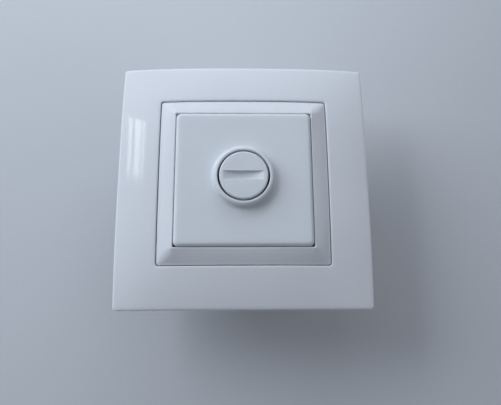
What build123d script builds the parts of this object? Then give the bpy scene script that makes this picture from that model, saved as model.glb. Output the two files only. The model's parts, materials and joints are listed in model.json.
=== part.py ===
from build123d import *

import math
import os

# Rotary push dimmer for a round flush wall box.
# The pieces are modelled face up: x to the right, y up the wall, z out of the wall, with z = 0 on the wall.
# They are turned once, on writing, so that the part stands as it is mounted: +Z up and its face towards -Y.
# All sizes are in millimetres.

# Clearances
FIT = 0.05  # between pieces that seat in each other
RUN = 0.06  # radial, between a shaft and the hole that it turns in
LOOSE = 0.4  # between pieces that pass each other

# Cover frame
FRAME_W = 82.0  # outer width and height
FRAME_EDGE_H = 5.4  # height of the front edge above the wall, at the corners
FRAME_ARCH = 2.2  # extra height of each edge at its middle
FRAME_CROWN = 0.4  # extra rise where the two arches meet, per square millimetre of rise
ARCH_POWER = 2.8  # how square the arches are
FRAME_CORNER_R = 1.0
FRAME_EDGE_R = 0.5
FRAME_SKIN = 2.0
FRAME_WALL = 1.8
WALL_FOOT = 1.3  # height of the window wall's foot above the wall
LEDGE_W = 1.0
LEDGE_T = 1.3
HEADROOM = 30.0  # height of the blanks that curved faces are cut from

# Central plate and its collar
PLATE_W = 43.9
PLATE_TOP = 13.1
PLATE_FOOT = 4.2  # height of the skirt's lower edge
PLATE_T = 1.8
PLATE_WALL = 1.5
PLATE_EDGE_R = 1.3
PLATE_CORNER_R = 1.6
COLLAR_H = 2.7
COLLAR_W = 1.25
COLLAR_TOP_R = 0.9
COLLAR_BASE_R = 1.3
CUP_FOOT = 3.0  # height of the cup's underside, where it bears on the housing cover
CUP_FLOOR_T = 1.6
CUP_WALL = 1.5
RIB_T = 1.2

# Bezel between the plate and the frame
PLATE_GAP = 0.15
BEZEL_BAND = 5.25
BEZEL_GAP = 0.25
BEZEL_CORNER_R = 0.8
WINDOW_CORNER_R = 1.0
BEZEL_TOP = 12.2
BEZEL_SKIN = 1.4
BEZEL_WALL = 1.4
BEZEL_DROP = 0.3  # how far the outer edge sits below the frame's edge
BEZEL_INNER_FOOT = 5.5
LATCH_W = 6.0
LATCH_T = 1.2
LATCH_X = 12.0
LATCH_HOOK = 0.8
LATCH_HOOK_H = 2.0
WINDOW_W = PLATE_W + 2 * (PLATE_GAP + BEZEL_BAND + BEZEL_GAP)

# Knob and spindle
KNOB_D = 15.4
KNOB_GAP = 0.6
KNOB_PROUD = 0.2  # how far the knob stands out of its collar
KNOB_H = 4.8
KNOB_CAP_T = 2.2
KNOB_WALL = 1.0
KNOB_BEVEL = 0.45
BOSS_WALL = 1.4
BOSS_DROP = 1.8  # how far the boss reaches below the skirt
SLIT_W = 0.8
SLIT_ABOVE_CLIP = 1.5  # how far the slit runs on above the clip
GROOVE_L = 12.8
GROOVE_W = 2.8
GROOVE_DEPTH = 1.4
CLIP_T = 0.45
CLIP_H = 2.0
CLIP_RISE = 0.6  # height of the clip above the boss's foot
CLIP_GAP = 50.0  # degrees
SPINDLE_D = 6.0
SPINDLE_FLAT = 1.2  # depth of the flat that drives the rotor
SPINDLE_COLLAR_W = 0.9
SPINDLE_COLLAR_T = 1.0
PUSH = 1.5  # travel of the knob towards the wall
TURN = 135.0  # turn of the knob each way, in degrees

# Nut and washer on the potentiometer's bushing
BUSHING_WALL = 1.94
BUSHING_ABOVE_NUT = 0.6
NUT_OVER = 1.0  # how far the nut's flats stand outside the bushing
NUT_T = 2.0
WASHER_T = 0.4
WASHER_W = 1.4
WASHER_SPLIT = 0.6
BUSHING_FLANGE_R = 9.4
BUSHING_FLANGE_T = 1.2

# Support plate and the screws that go through it
SUPPORT_T = 1.0
SUPPORT_MARGIN = 3.7  # between the support plate and the inside of the frame's outer wall
SUPPORT_CHAMFER = 12.0
SUPPORT_WINDOW_MARGIN = 0.3
BOX_SCREW_SPACING = 60.0
BOX_SCREW_HOLE_R = 1.9
BOX_SCREW_RELIEF_W = 8.0
BOX_SCREW_RELIEF_H = 4.2

# Housing
HOUSING_W = 47.0
HOUSING_DEPTH = 25.0  # from the wall plane to the back
HOUSING_WALL = 1.6
HOUSING_CORNER_R = 2.6
COVER_T = 1.8
COVER_BOSS_R = 9.0
BAY_W = 15.0  # the bays on both sides that hold the claws
BAY_DEPTH = 4.5
POST_R = 2.7
POST_INSET = 4.1
HOUSING_SCREW_R = 1.2
HOUSING_SCREW_L = 9.0
HOUSING_SCREW_HEAD_R = 2.3
HOUSING_SCREW_HEAD_H = 1.4
DRIVE_SLOT_W = 0.6
DRIVE_SLOT_L = 2.8
SCREW_EDGE_R = 0.5  # rounding of screw heads
TIP_CHAMFER = 0.4  # of screws, spindle and bushing

# Claws and their screws
CLAW_PIVOT_IN = 1.9  # from the housing's side plane in to the pivot
CLAW_PIVOT_DEPTH = 11.0
CLAW_PIN_R = 1.0
CLAW_PIN_HEAD_R = 1.6
CLAW_PIN_HEAD_T = 0.4
CLAW_T = 1.2
CLAW_HALF_W = 5.1
CLAW_HUB_R = 2.0
CLAW_LUG_START = 2.15
CLAW_LUG_END = 8.0
CLAW_REST = 15.0  # degrees that the lug leans back at rest
CLAW_SWING = 35.0  # degrees from rest to fully open
CLAW_SCREW_OUT = 4.7  # from the pivot out to the screw
CLAW_SCREW_R = 1.5
CLAW_SCREW_L = 18.5
CLAW_SCREW_HEAD_R = 2.7
CLAW_SCREW_HEAD_H = 1.6
CLAW_SLOT_DEPTH = 0.9
CLAW_RELIEF_W = 7.4
CLAW_SPRING_WIRE_R = 0.25
CLAW_SPRING_R = 2.1
CLAW_SPRING_END = 10.6  # depth of the spring's far end
CLAW_SPRING_TURNS = 6

# Potentiometer
POT_W = 20.0
POT_DEPTH = 6.2
POT_CAVITY_R = 8.6
POT_FLOOR_T = 1.0
TRACK_T = 0.8
ROTOR_R = 7.5
ROTOR_T = 1.0
ROTOR_ABOVE_TRACK = 0.4
ROTOR_STOP_R = 8.3
ROTOR_STOP_HALF = 14.0  # half angle of the stop on the rotor, in degrees
CASE_STOP_HALF = 28.0  # half angle of the stop in the case, in degrees
CASE_STOP_R = 7.8
WIPER_R = 6.2
WIPER_PAD_R = 0.7
WIPER_T = 0.35
PIN_PITCH = 5.0
PIN_W = 1.2
PIN_T = 0.5

# Push switch behind the potentiometer
SWITCH_W = 15.0
SWITCH_DEPTH = 7.3
SWITCH_CAVITY_R = 5.5
SWITCH_FLOOR_T = 1.2
SWITCH_FOOT_W = 2.4
SWITCH_FOOT_INSET = 0.3
PLUNGER_HEAD_R = 5.2
PLUNGER_HEAD_T = 1.25
PLUNGER_STEM_R = 1.5
BRIDGE_L = 9.2
BRIDGE_W = 2.4
BRIDGE_T = 0.45
CONTACT_X = 3.9
CONTACT_R = 0.8
CONTACT_GAP = 0.1  # left between the contacts with the knob fully in
RETURN_SPRING_R = 2.1
RETURN_SPRING_WIRE_R = 0.18
RETURN_SPRING_TURNS = 4

# Circuit board and what stands on it
BOARD_T = 1.6
BOARD_STANDOFF = 1.8
BOARD_MARGIN = 0.5
BOARD_LOWER_Y = -10.8
STANDOFF_R = 1.5
CHOKE_CORE_R = 2.6
CHOKE_CORE_L = 17.0
CHOKE_COIL_R = 4.0
CHOKE_COIL_L = 13.0
CAPACITOR_T = 6.6
CAPACITOR_L = 16.5
CAPACITOR_H = 9.4
TIMING_T = 3.0
TIMING_L = 7.0
TIMING_H = 6.5
FUSE_R = 2.6
FUSE_L = 20.0
FUSE_CAP_L = 4.5
FUSE_CLIP_W = 3.0
RESISTOR_R = 0.95
RESISTOR_L = 4.6
DIAC_R = 0.85
DIAC_L = 3.8
LEAD_R = 0.3
TRIAC_W = 10.0
TRIAC_BODY_T = 4.4
TRIAC_BODY_H = 9.0
TRIAC_TAB_T = 1.3
TRIAC_TAB_H = 5.8
TRIAC_LEAD_L = 2.8
TRIAC_LEAD_PITCH = 2.54
TRIAC_LEAD_W = 0.8
TRIAC_LEAD_T = 0.5
TRIAC_LEAD_IN = 2.3  # from the tab's face to the leads
PAD_T = 0.3
PAD_MARGIN = 0.8
HEAT_SINK_T = 1.5
HEAT_SINK_W = 26.0
HEAT_SINK_GAP = 0.3  # from the housing's upper wall
TRIAC_SCREW_R = 1.5
TRIAC_SCREW_HEAD_R = 2.7
TRIAC_SCREW_HEAD_H = 1.6
TRIAC_SCREW_SOCKET_R = 1.1

# Terminals
POLES = 3
POLE_PITCH = 10.0
CAGE_W = 6.6
CAGE_D = 6.6
CAGE_H = 8.0
WIRE_HOLE_R = 1.6
WIRE_GUIDE_R = 1.8
TERMINAL_WALL = 1.3
TERMINAL_SCREW_R = 1.25
TERMINAL_SCREW_HEAD_R = 1.9
TERMINAL_SCREW_HEAD_H = 1.7
TERMINAL_SLOT_DEPTH = 0.8
TAIL_W = 1.5
TAIL_T = 0.5
TAIL_SHIFT = 2.5

# Places that follow from the sizes above
FRAME_HALF = FRAME_W / 2
WINDOW_HALF = WINDOW_W / 2
BEZEL_HALF = WINDOW_HALF - BEZEL_GAP
PLATE_HALF = PLATE_W / 2
PLATE_OPENING_HALF = PLATE_HALF + PLATE_GAP
HOUSING_HALF = HOUSING_W / 2
INSIDE_HALF = HOUSING_HALF - HOUSING_WALL
BAY_FLOOR_X = HOUSING_HALF - BAY_DEPTH
SUPPORT_HALF = FRAME_HALF - FRAME_WALL - SUPPORT_MARGIN
POST_XY = HOUSING_HALF - POST_INSET
LATCH_OUTER = BEZEL_HALF - BEZEL_WALL + 0.5 * LATCH_T
LATCH_CATCH = -FIT - LOOSE  # the hook's face, behind the support plate
LATCH_TIP = LATCH_CATCH - LATCH_HOOK_H

RIM_TOP = PLATE_TOP + COLLAR_H
KNOB_R = KNOB_D / 2
KNOB_HOLE_R = KNOB_R + KNOB_GAP
KNOB_TOP = RIM_TOP + KNOB_PROUD
KNOB_FOOT = KNOB_TOP - KNOB_H
CAP_UNDERSIDE = KNOB_TOP - KNOB_CAP_T
SPINDLE_R = SPINDLE_D / 2
BOSS_R = SPINDLE_R + BOSS_WALL
BOSS_FOOT = KNOB_FOOT - BOSS_DROP
CUP_FLOOR = CUP_FOOT + CUP_FLOOR_T
NUT_FOOT = CUP_FLOOR + WASHER_T
BUSHING_BORE_R = SPINDLE_R + RUN
BUSHING_R = BUSHING_BORE_R + BUSHING_WALL
BUSHING_TOP = NUT_FOOT + NUT_T + BUSHING_ABOVE_NUT

COVER_BACK = -COVER_T
HOUSING_BACK = -HOUSING_DEPTH
FLOOR_Z = HOUSING_BACK + HOUSING_WALL
POT_FRONT = COVER_BACK - BUSHING_FLANGE_T
POT_BACK = POT_FRONT - POT_DEPTH
TRACK_TOP = POT_BACK + POT_FLOOR_T + TRACK_T
ROTOR_FOOT = TRACK_TOP + ROTOR_ABOVE_TRACK
ROTOR_TOP = ROTOR_FOOT + ROTOR_T
SWITCH_BACK = POT_BACK - SWITCH_DEPTH
SWITCH_FLOOR = SWITCH_BACK + SWITCH_FLOOR_T
BOARD_BACK = FLOOR_Z + BOARD_STANDOFF
BOARD_TOP = BOARD_BACK + BOARD_T
SPINDLE_END = POT_BACK - 0.7
PLUNGER_TOP = SPINDLE_END - FIT
PLUNGER_UNDERSIDE = PLUNGER_TOP - PLUNGER_HEAD_T
BRIDGE_UNDERSIDE = PLUNGER_UNDERSIDE - BRIDGE_T
STEM_END = SWITCH_FLOOR - 0.6

CLAW_PIVOT_X = HOUSING_HALF - CLAW_PIVOT_IN
CLAW_SCREW_X = CLAW_PIVOT_X + CLAW_SCREW_OUT
CAGE_Y = -INSIDE_HALF + TERMINAL_WALL + FIT + CAGE_D / 2
CAGE_FOOT = FLOOR_Z + TERMINAL_WALL + FIT
TERMINAL_TOP_Y = CAGE_Y + CAGE_D / 2 + FIT + TERMINAL_WALL
TERMINAL_HALF_X = POLE_PITCH * (POLES - 1) / 2 + CAGE_W / 2 + FIT + TERMINAL_WALL
POLE_X = [POLE_PITCH * (i - (POLES - 1) / 2) for i in range(POLES)]


def block(x0, x1, y0, y1, z0, z1):
    """A box between three pairs of faces."""
    middle = Pos((x0 + x1) / 2, (y0 + y1) / 2, (z0 + z1) / 2)
    return middle * Box(abs(x1 - x0), abs(y1 - y0), abs(z1 - z0))


def square(half, z0, z1):
    """A square slab about the centre line."""
    return block(-half, half, -half, half, z0, z1)


def rounded_square(half, radius, z0, z1):
    """A square slab with rounded corners about the centre line."""
    return Pos(0, 0, z0) * extrude(RectangleRounded(2 * half, 2 * half, radius), amount=z1 - z0)


def rod(radius, z0, z1, x=0.0, y=0.0):
    """A cylinder along z."""
    return Pos(x, y, (z0 + z1) / 2) * Cylinder(radius, abs(z1 - z0))


def rod_x(radius, x0, x1, y, z):
    """A cylinder along x."""
    return Pos((x0 + x1) / 2, y, z) * Rot(0, 90, 0) * Cylinder(radius, abs(x1 - x0))


def rod_y(radius, y0, y1, x, z):
    """A cylinder along y."""
    return Pos(x, (y0 + y1) / 2, z) * Rot(90, 0, 0) * Cylinder(radius, abs(y1 - y0))


def tube(outer, inner, z0, z1, x=0.0, y=0.0):
    """A ring along z."""
    return rod(outer, z0, z1, x, y) - rod(inner, z0 - 1, z1 + 1, x, y)


def sector(outer, inner, half_angle, middle_angle, z0, z1):
    """A piece of a ring that spans twice half_angle about middle_angle."""
    steps = 8
    reach = 2 * outer
    turn = [middle_angle - half_angle + 2 * half_angle * i / steps for i in range(steps + 1)]
    rim = [(reach * math.cos(math.radians(a)), reach * math.sin(math.radians(a))) for a in turn]
    wedge = make_face(Polyline([(0, 0), *rim, (0, 0)]))
    return tube(outer, inner, z0, z1) & (Pos(0, 0, z0) * extrude(wedge, amount=z1 - z0))


def mirrored(piece):
    """The same piece on the left side."""
    return mirror(piece, about=Plane.YZ)


def coil(radius, wire_radius, z0, z1, turns, x=0.0):
    """A compression spring along z between two heights."""
    height = z1 - z0 - 2 * wire_radius
    path = Helix(pitch=height / turns, height=height, radius=radius)
    section = Plane(path @ 0, z_dir=path % 0) * Circle(wire_radius)
    return Pos(x, 0, z0 + wire_radius) * sweep(section, path=path, is_frenet=True)


def height_face(height, x0, x1, y0, y1, steps):
    """A smooth face at the given height above each point of a rectangle."""
    rows = []
    for j in range(steps + 1):
        y = y0 + (y1 - y0) * j / steps
        xs = [x0 + (x1 - x0) * i / steps for i in range(steps + 1)]
        rows.append([Vector(x, y, height(x, y)) for x in xs])
    return Face.make_surface_from_array_of_points(rows)


def frame_height(x, y):
    """Height of the cover frame's face above the wall."""
    rise_x = FRAME_ARCH * (1 - abs(x / FRAME_HALF) ** ARCH_POWER)
    rise_y = FRAME_ARCH * (1 - abs(y / FRAME_HALF) ** ARCH_POWER)
    return FRAME_EDGE_H + rise_x + rise_y + FRAME_CROWN * rise_x * rise_y


def bezel_height(x, y):
    """Height of the bezel's right-hand side, which slopes down from the plate to the arched gap."""
    outward = (x - PLATE_OPENING_HALF) / (BEZEL_HALF - PLATE_OPENING_HALF)
    edge = frame_height(WINDOW_HALF, y) - BEZEL_DROP
    return BEZEL_TOP + (edge - BEZEL_TOP) * outward


def screw_reliefs():
    """Room for the heads of the box screws, above and below, and of the claw screws, left and right."""
    half = BOX_SCREW_RELIEF_W / 2
    inner = BOX_SCREW_SPACING / 2 - half
    outer = BOX_SCREW_SPACING / 2 + half
    box_screw = block(-half, half, inner, outer, -1, BOX_SCREW_RELIEF_H)
    reach = CLAW_RELIEF_W / 2
    top = SUPPORT_T + CLAW_SCREW_HEAD_H + LOOSE
    claw = block(CLAW_SCREW_X - reach, CLAW_SCREW_X + reach, -reach, reach, -1, top)
    return box_screw + mirror(box_screw, about=Plane.XZ) + claw + mirrored(claw)


def cover_frame():
    """Outer frame: an arched, hollow square shell with a square window."""
    reach = FRAME_HALF + 3
    skin = height_face(frame_height, -reach, reach, -reach, reach, 20)
    above = extrude(skin, amount=HEADROOM, dir=(0, 0, 1))
    body = rounded_square(FRAME_HALF, FRAME_CORNER_R, 0, HEADROOM) - above
    front_edges = [e for e in body.edges() if e.geom_type not in (GeomType.LINE, GeomType.CIRCLE)]
    body = fillet(front_edges, FRAME_EDGE_R)
    hollow = square(FRAME_HALF - FRAME_WALL, -1, HEADROOM) - Pos(0, 0, -FRAME_SKIN) * above
    hollow -= square(WINDOW_HALF + FRAME_WALL, WALL_FOOT, HEADROOM)
    body = body - hollow - rounded_square(WINDOW_HALF, WINDOW_CORNER_R, -1, HEADROOM)
    ledge = square(WINDOW_HALF + LOOSE, WALL_FOOT, WALL_FOOT + LEDGE_T)
    ledge -= square(WINDOW_HALF - LEDGE_W, 0, HEADROOM)
    return body + ledge - screw_reliefs()


def bezel_latch():
    """One spring leg with its hook, at the right-hand end of the upper edge."""
    inner = LATCH_OUTER - LATCH_T
    left = LATCH_X - LATCH_W / 2
    right = LATCH_X + LATCH_W / 2
    leg = block(left, right, inner, LATCH_OUTER, LATCH_TIP, BEZEL_INNER_FOOT + BEZEL_SKIN)
    hook = Polyline([(inner, LATCH_TIP), (LATCH_OUTER, LATCH_TIP), (LATCH_OUTER + LATCH_HOOK, LATCH_CATCH),
                     (inner, LATCH_CATCH), (inner, LATCH_TIP)])
    profile = Plane(origin=(left, 0, 0), x_dir=(0, 1, 0), z_dir=(1, 0, 0)) * make_face(hook)
    return leg + extrude(profile, amount=right - left, dir=(1, 0, 0))


def latch_slots(z0, z1):
    """Room for the four latches in whatever they pass through."""
    slot = block(LATCH_X - LATCH_W / 2 - LOOSE, LATCH_X + LATCH_W / 2 + LOOSE,
                 LATCH_OUTER - LATCH_T - LOOSE, LATCH_OUTER + LATCH_HOOK + LOOSE, z0, z1)
    slots = slot + mirrored(slot)
    return slots + mirror(slots, about=Plane.XZ)


def bezel():
    """Inner frame: four mitred slopes, two walls and four latch legs."""
    reach = BEZEL_HALF + 1
    start = PLATE_OPENING_HALF - 1
    skin = height_face(bezel_height, start, reach, -reach, reach, 12)
    below = extrude(skin, amount=HEADROOM, dir=(0, 0, -1))
    foot = WALL_FOOT + LEDGE_T + 0.1
    mitre = make_face(Polyline([(0, 0), (BEZEL_HALF, -BEZEL_HALF), (BEZEL_HALF, BEZEL_HALF), (0, 0)]))
    wedge = Pos(0, 0, foot) * extrude(mitre, amount=HEADROOM)
    wedge -= square(PLATE_OPENING_HALF, -HEADROOM, HEADROOM)
    side = below & wedge
    channel = Pos(0, 0, -BEZEL_SKIN) * below
    channel &= block(PLATE_OPENING_HALF + BEZEL_WALL, BEZEL_HALF - BEZEL_WALL, -reach, reach, -1, HEADROOM)
    side = side - channel
    body = side
    for quarter in range(1, 4):
        body += Rot(0, 0, 90 * quarter) * side
    body -= square(PLATE_OPENING_HALF + BEZEL_WALL, 0, BEZEL_INNER_FOOT)
    body &= rounded_square(BEZEL_HALF, BEZEL_CORNER_R, 0, HEADROOM)
    latch = bezel_latch()
    latches = latch + mirrored(latch)
    return body + latches + mirror(latches, about=Plane.XZ) - screw_reliefs()


def cover_plate():
    """Central plate: a shallow square cap with a raised collar and a cup that holds the knob."""
    body = rounded_square(PLATE_HALF, PLATE_CORNER_R, PLATE_FOOT, PLATE_TOP)
    body = fillet(body.faces().sort_by(Axis.Z)[-1].edges(), PLATE_EDGE_R)
    inside = PLATE_HALF - PLATE_WALL
    body -= rounded_square(inside, PLATE_CORNER_R / 2, PLATE_FOOT - 1, PLATE_TOP - PLATE_T)
    collar_r = KNOB_HOLE_R + COLLAR_W
    body += rod(collar_r, PLATE_TOP - PLATE_T / 2, RIM_TOP)
    rings = [e for e in body.edges().filter_by(GeomType.CIRCLE) if abs(e.radius - collar_r) < 0.01]
    body = fillet([e for e in rings if e.center().Z > RIM_TOP - 0.01], COLLAR_TOP_R)
    rings = [e for e in body.edges().filter_by(GeomType.CIRCLE) if abs(e.radius - collar_r) < 0.01]
    body = fillet([e for e in rings if abs(e.center().Z - PLATE_TOP) < 0.01], COLLAR_BASE_R)
    body += rod(KNOB_HOLE_R + CUP_WALL, CUP_FOOT, PLATE_TOP - PLATE_T / 2)
    ribs = block(-inside - 0.1, inside + 0.1, -RIB_T / 2, RIB_T / 2, PLATE_FOOT + 1, PLATE_TOP - PLATE_T / 2)
    body += ribs + Rot(0, 0, 90) * ribs
    body -= rod(KNOB_HOLE_R, CUP_FLOOR, RIM_TOP + 1)
    return body - rod(BUSHING_R + FIT, CUP_FOOT - 1, CUP_FLOOR + 1)


def knob():
    """Round cap with a scooped groove across its face and a slit boss for the spindle."""
    body = rod(KNOB_R, KNOB_FOOT, KNOB_TOP)
    body = chamfer(body.edges().group_by(Axis.Z)[-1], KNOB_BEVEL)
    body -= rod(KNOB_R - KNOB_WALL, KNOB_FOOT - 1, CAP_UNDERSIDE)
    body += rod(BOSS_R, BOSS_FOOT, CAP_UNDERSIDE + 0.1)
    body -= rod(SPINDLE_R + FIT / 2, BOSS_FOOT - 1, CAP_UNDERSIDE)
    slit_end = BOSS_FOOT + CLIP_H + SLIT_ABOVE_CLIP
    body -= block(-BOSS_R - 1, BOSS_R + 1, -SLIT_W / 2, SLIT_W / 2, BOSS_FOOT - 1, slit_end)
    scoop_r = (GROOVE_L ** 2 / 4 + GROOVE_DEPTH ** 2) / (2 * GROOVE_DEPTH)
    scoop = rod_y(scoop_r, -GROOVE_W / 2, GROOVE_W / 2, 0, KNOB_TOP - GROOVE_DEPTH + scoop_r)
    return body - scoop


def knob_clip():
    """Split spring ring that squeezes the knob's boss on the spindle."""
    foot = BOSS_FOOT + CLIP_RISE
    inner = BOSS_R + FIT / 2
    return sector(inner + CLIP_T, inner, 180 - CLIP_GAP / 2, -90.0, foot, foot + CLIP_H)


def spindle():
    """Shaft with a stop collar, a flat that drives the rotor and a plain end that carries the knob."""
    shaft = rod(SPINDLE_R, SPINDLE_END, CAP_UNDERSIDE - LOOSE)
    shaft = chamfer(shaft.edges().group_by(Axis.Z)[-1], TIP_CHAMFER)
    collar_top = POT_FRONT - 0.1
    shaft += rod(SPINDLE_R + SPINDLE_COLLAR_W, collar_top - SPINDLE_COLLAR_T, collar_top)
    flat_y = SPINDLE_R - SPINDLE_FLAT
    flat_top = collar_top - SPINDLE_COLLAR_T
    return shaft - block(-SPINDLE_D, SPINDLE_D, flat_y, SPINDLE_D, SPINDLE_END - 1, flat_top)


def bushing_nut():
    """Hexagon nut that clamps the central plate."""
    flats = BUSHING_R + NUT_OVER
    hexagon = RegularPolygon(radius=flats, side_count=6, major_radius=False)
    nut = Pos(0, 0, NUT_FOOT) * extrude(hexagon, amount=NUT_T)
    return nut - rod(BUSHING_R + FIT, NUT_FOOT - 1, NUT_FOOT + NUT_T + 1)


def lock_washer():
    """Spring washer under the nut, split at one place."""
    inner = BUSHING_R + 2 * FIT
    ring = tube(inner + WASHER_W, inner, CUP_FLOOR, NUT_FOOT)
    half = WASHER_SPLIT / 2
    return ring - block(inner - 1, inner + WASHER_W + 1, -half, half, CUP_FLOOR - 1, NUT_FOOT + 1)


def claw_screw_hole(z0, z1):
    """Round holes for both claw screws."""
    hole = rod(CLAW_SCREW_R + RUN, z0, z1, CLAW_SCREW_X)
    return hole + mirrored(hole)


def post_places():
    """Centres of the four corner posts and their screws."""
    return [(i * POST_XY, j * POST_XY) for i in (-1, 1) for j in (-1, 1)]


def support_plate():
    """Steel mounting ring with its box-screw, claw-screw, housing-screw and latch holes."""
    outline = chamfer(Rectangle(2 * SUPPORT_HALF, 2 * SUPPORT_HALF).vertices(), SUPPORT_CHAMFER)
    body = extrude(outline, amount=SUPPORT_T)
    body -= rod(COVER_BOSS_R + SUPPORT_WINDOW_MARGIN, -1, SUPPORT_T + 1)
    for side in (-1, 1):
        body -= rod(BOX_SCREW_HOLE_R, -1, SUPPORT_T + 1, 0, side * BOX_SCREW_SPACING / 2)
    body -= claw_screw_hole(-1, SUPPORT_T + 1)
    for x, y in post_places():
        body -= rod(HOUSING_SCREW_R + 2 * FIT, -1, SUPPORT_T + 1, x, y)
    return body - latch_slots(-1, SUPPORT_T + 1)


def housing_outline(inset):
    """The housing's section, drawn in by inset, with the claw bays cut out of its sides."""
    width = HOUSING_W - 2 * inset
    section = RectangleRounded(width, width, HOUSING_CORNER_R - inset)
    bay_depth = BAY_DEPTH + 1
    bay = Rectangle(bay_depth, BAY_W + 2 * inset)
    bay_x = BAY_FLOOR_X - inset + bay_depth / 2
    return section - Pos(bay_x, 0) * bay - Pos(-bay_x, 0) * bay


def housing_cover():
    """Front cover of the housing, with the boss that the central plate bears on."""
    body = Pos(0, 0, COVER_BACK) * extrude(housing_outline(0), amount=COVER_T)
    body += rod(COVER_BOSS_R, COVER_BACK, CUP_FOOT)
    body -= rod(BUSHING_R + FIT, COVER_BACK - 1, CUP_FOOT + 1)
    for x, y in post_places():
        body -= rod(HOUSING_SCREW_R + 2 * FIT, COVER_BACK - 1, 1, x, y)
    return body - latch_slots(COVER_BACK - 1, 1)


def hinge_block():
    """The block in the right-hand bay that holds the claw's pin."""
    half_w = CLAW_HALF_W - CLAW_T - 0.3
    hub_r = CLAW_LUG_START - 0.3
    body = block(BAY_FLOOR_X - 0.5, CLAW_PIVOT_X, -half_w, half_w,
                 -CLAW_PIVOT_DEPTH - hub_r, -CLAW_PIVOT_DEPTH + hub_r)
    return body + rod_y(hub_r, -half_w, half_w, CLAW_PIVOT_X, -CLAW_PIVOT_DEPTH)


def pin_holes(radius):
    """Bores for the right-hand claw's pin."""
    return rod_y(radius, -CLAW_HALF_W - 1, CLAW_HALF_W + 1, CLAW_PIVOT_X, -CLAW_PIVOT_DEPTH)


def housing():
    """Deep plastic box, open to the front, with posts, standoffs and the claw hinge blocks."""
    body = Pos(0, 0, HOUSING_BACK) * extrude(housing_outline(0), amount=COVER_BACK - HOUSING_BACK)
    body -= Pos(0, 0, FLOOR_Z) * extrude(housing_outline(HOUSING_WALL), amount=HOUSING_DEPTH)
    for x, y in post_places():
        post = rod(POST_R, FLOOR_Z - 0.1, COVER_BACK, x, y)
        post -= rod(HOUSING_SCREW_R + FIT / 2, COVER_BACK - HOUSING_SCREW_L, 1, x, y)
        body += post
    for x, y in standoff_places():
        body += rod(STANDOFF_R, FLOOR_Z - 0.1, BOARD_BACK, x, y)
    hinge = hinge_block() - pin_holes(CLAW_PIN_R + FIT / 2)
    body += hinge + mirrored(hinge)
    for x in POLE_X:
        body -= rod(WIRE_GUIDE_R, HOUSING_BACK - 1, FLOOR_Z + 1, x, CAGE_Y)
        body -= rod_y(TERMINAL_SCREW_HEAD_R + 2 * FIT, -HOUSING_HALF - 1, -INSIDE_HALF + 1, x, cage_middle())
    return body - latch_slots(LATCH_TIP - LOOSE, 1)


def housing_screws():
    """Four pan-head screws through the support plate and cover into the posts."""
    screws = Part()
    tip = COVER_BACK - HOUSING_SCREW_L + 0.5
    for x, y in post_places():
        head = rod(HOUSING_SCREW_HEAD_R, SUPPORT_T, SUPPORT_T + HOUSING_SCREW_HEAD_H, x, y)
        head = fillet(head.edges().group_by(Axis.Z)[-1], SCREW_EDGE_R)
        slot_foot = SUPPORT_T + HOUSING_SCREW_HEAD_H / 2
        for long, wide in ((DRIVE_SLOT_L / 2, DRIVE_SLOT_W / 2), (DRIVE_SLOT_W / 2, DRIVE_SLOT_L / 2)):
            head -= block(x - long, x + long, y - wide, y + wide, slot_foot, slot_foot + HOUSING_SCREW_HEAD_H)
        screws += head + rod(HOUSING_SCREW_R, tip, SUPPORT_T + 0.1, x, y)
    return screws


def claw(swing=0.0):
    """Right-hand claw: two toothed prongs on the pin, joined by the lug that its screw draws forward."""
    half_t = CLAW_T / 2
    outline = Polyline([(-1.7, 0.8), (-1.0, 1.6), (0.6, 1.8), (2.0, half_t), (CLAW_LUG_END, half_t),
                        (CLAW_LUG_END, -half_t), (4.4, -2.0), (3.6, -9.8), (6.0, -11.0), (4.0, -11.4),
                        (5.6, -12.6), (2.6, -13.0), (0.9, -11.0), (-1.6, -1.2), (-1.7, 0.8)])
    profile = Plane.XZ * make_face(outline)
    prong = Pos(0, CLAW_HALF_W, 0) * extrude(profile, amount=CLAW_T, dir=(0, -1, 0))
    prong -= rod_y(CLAW_PIN_R + RUN, -9, 9, 0, 0)
    lug = block(CLAW_LUG_START, CLAW_LUG_END, -CLAW_HALF_W, CLAW_HALF_W, -half_t, half_t)
    slot_in = CLAW_SCREW_OUT - CLAW_SCREW_R - 0.3
    slot_out = CLAW_SCREW_OUT + CLAW_SCREW_R + 0.8
    slot_half = CLAW_SCREW_R + 0.15
    lug -= block(slot_in, slot_out, -slot_half, slot_half, -2, 2)
    body = prong + mirror(prong, about=Plane.XZ) + lug
    turn = CLAW_REST - swing
    return Pos(CLAW_PIVOT_X, 0, -CLAW_PIVOT_DEPTH) * Rot(0, turn, 0) * body


def claw_pins():
    """The pins that the two claws swing on, pressed through the hinge blocks."""
    end = CLAW_HALF_W + 0.1
    pin = rod_y(CLAW_PIN_R, -end, end, CLAW_PIVOT_X, -CLAW_PIVOT_DEPTH)
    for side in (-1, 1):
        pin += rod_y(CLAW_PIN_HEAD_R, side * end, side * (end + CLAW_PIN_HEAD_T),
                     CLAW_PIVOT_X, -CLAW_PIVOT_DEPTH)
    return pin + mirrored(pin)


def claw_screw():
    """Right-hand claw screw, slotted and captive in the support plate."""
    head_foot = SUPPORT_T + FIT
    head_top = head_foot + CLAW_SCREW_HEAD_H
    head = rod(CLAW_SCREW_HEAD_R, head_foot, head_top, CLAW_SCREW_X)
    head = fillet(head.edges().group_by(Axis.Z)[-1], SCREW_EDGE_R)
    reach = CLAW_SCREW_HEAD_R + 1
    head -= block(CLAW_SCREW_X - reach, CLAW_SCREW_X + reach, -DRIVE_SLOT_W / 2, DRIVE_SLOT_W / 2,
                  head_top - CLAW_SLOT_DEPTH, head_top + 1)
    shank = rod(CLAW_SCREW_R, -CLAW_SCREW_L, head_foot + FIT, CLAW_SCREW_X)
    return head + chamfer(shank.edges().group_by(Axis.Z)[0], TIP_CHAMFER)


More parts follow.
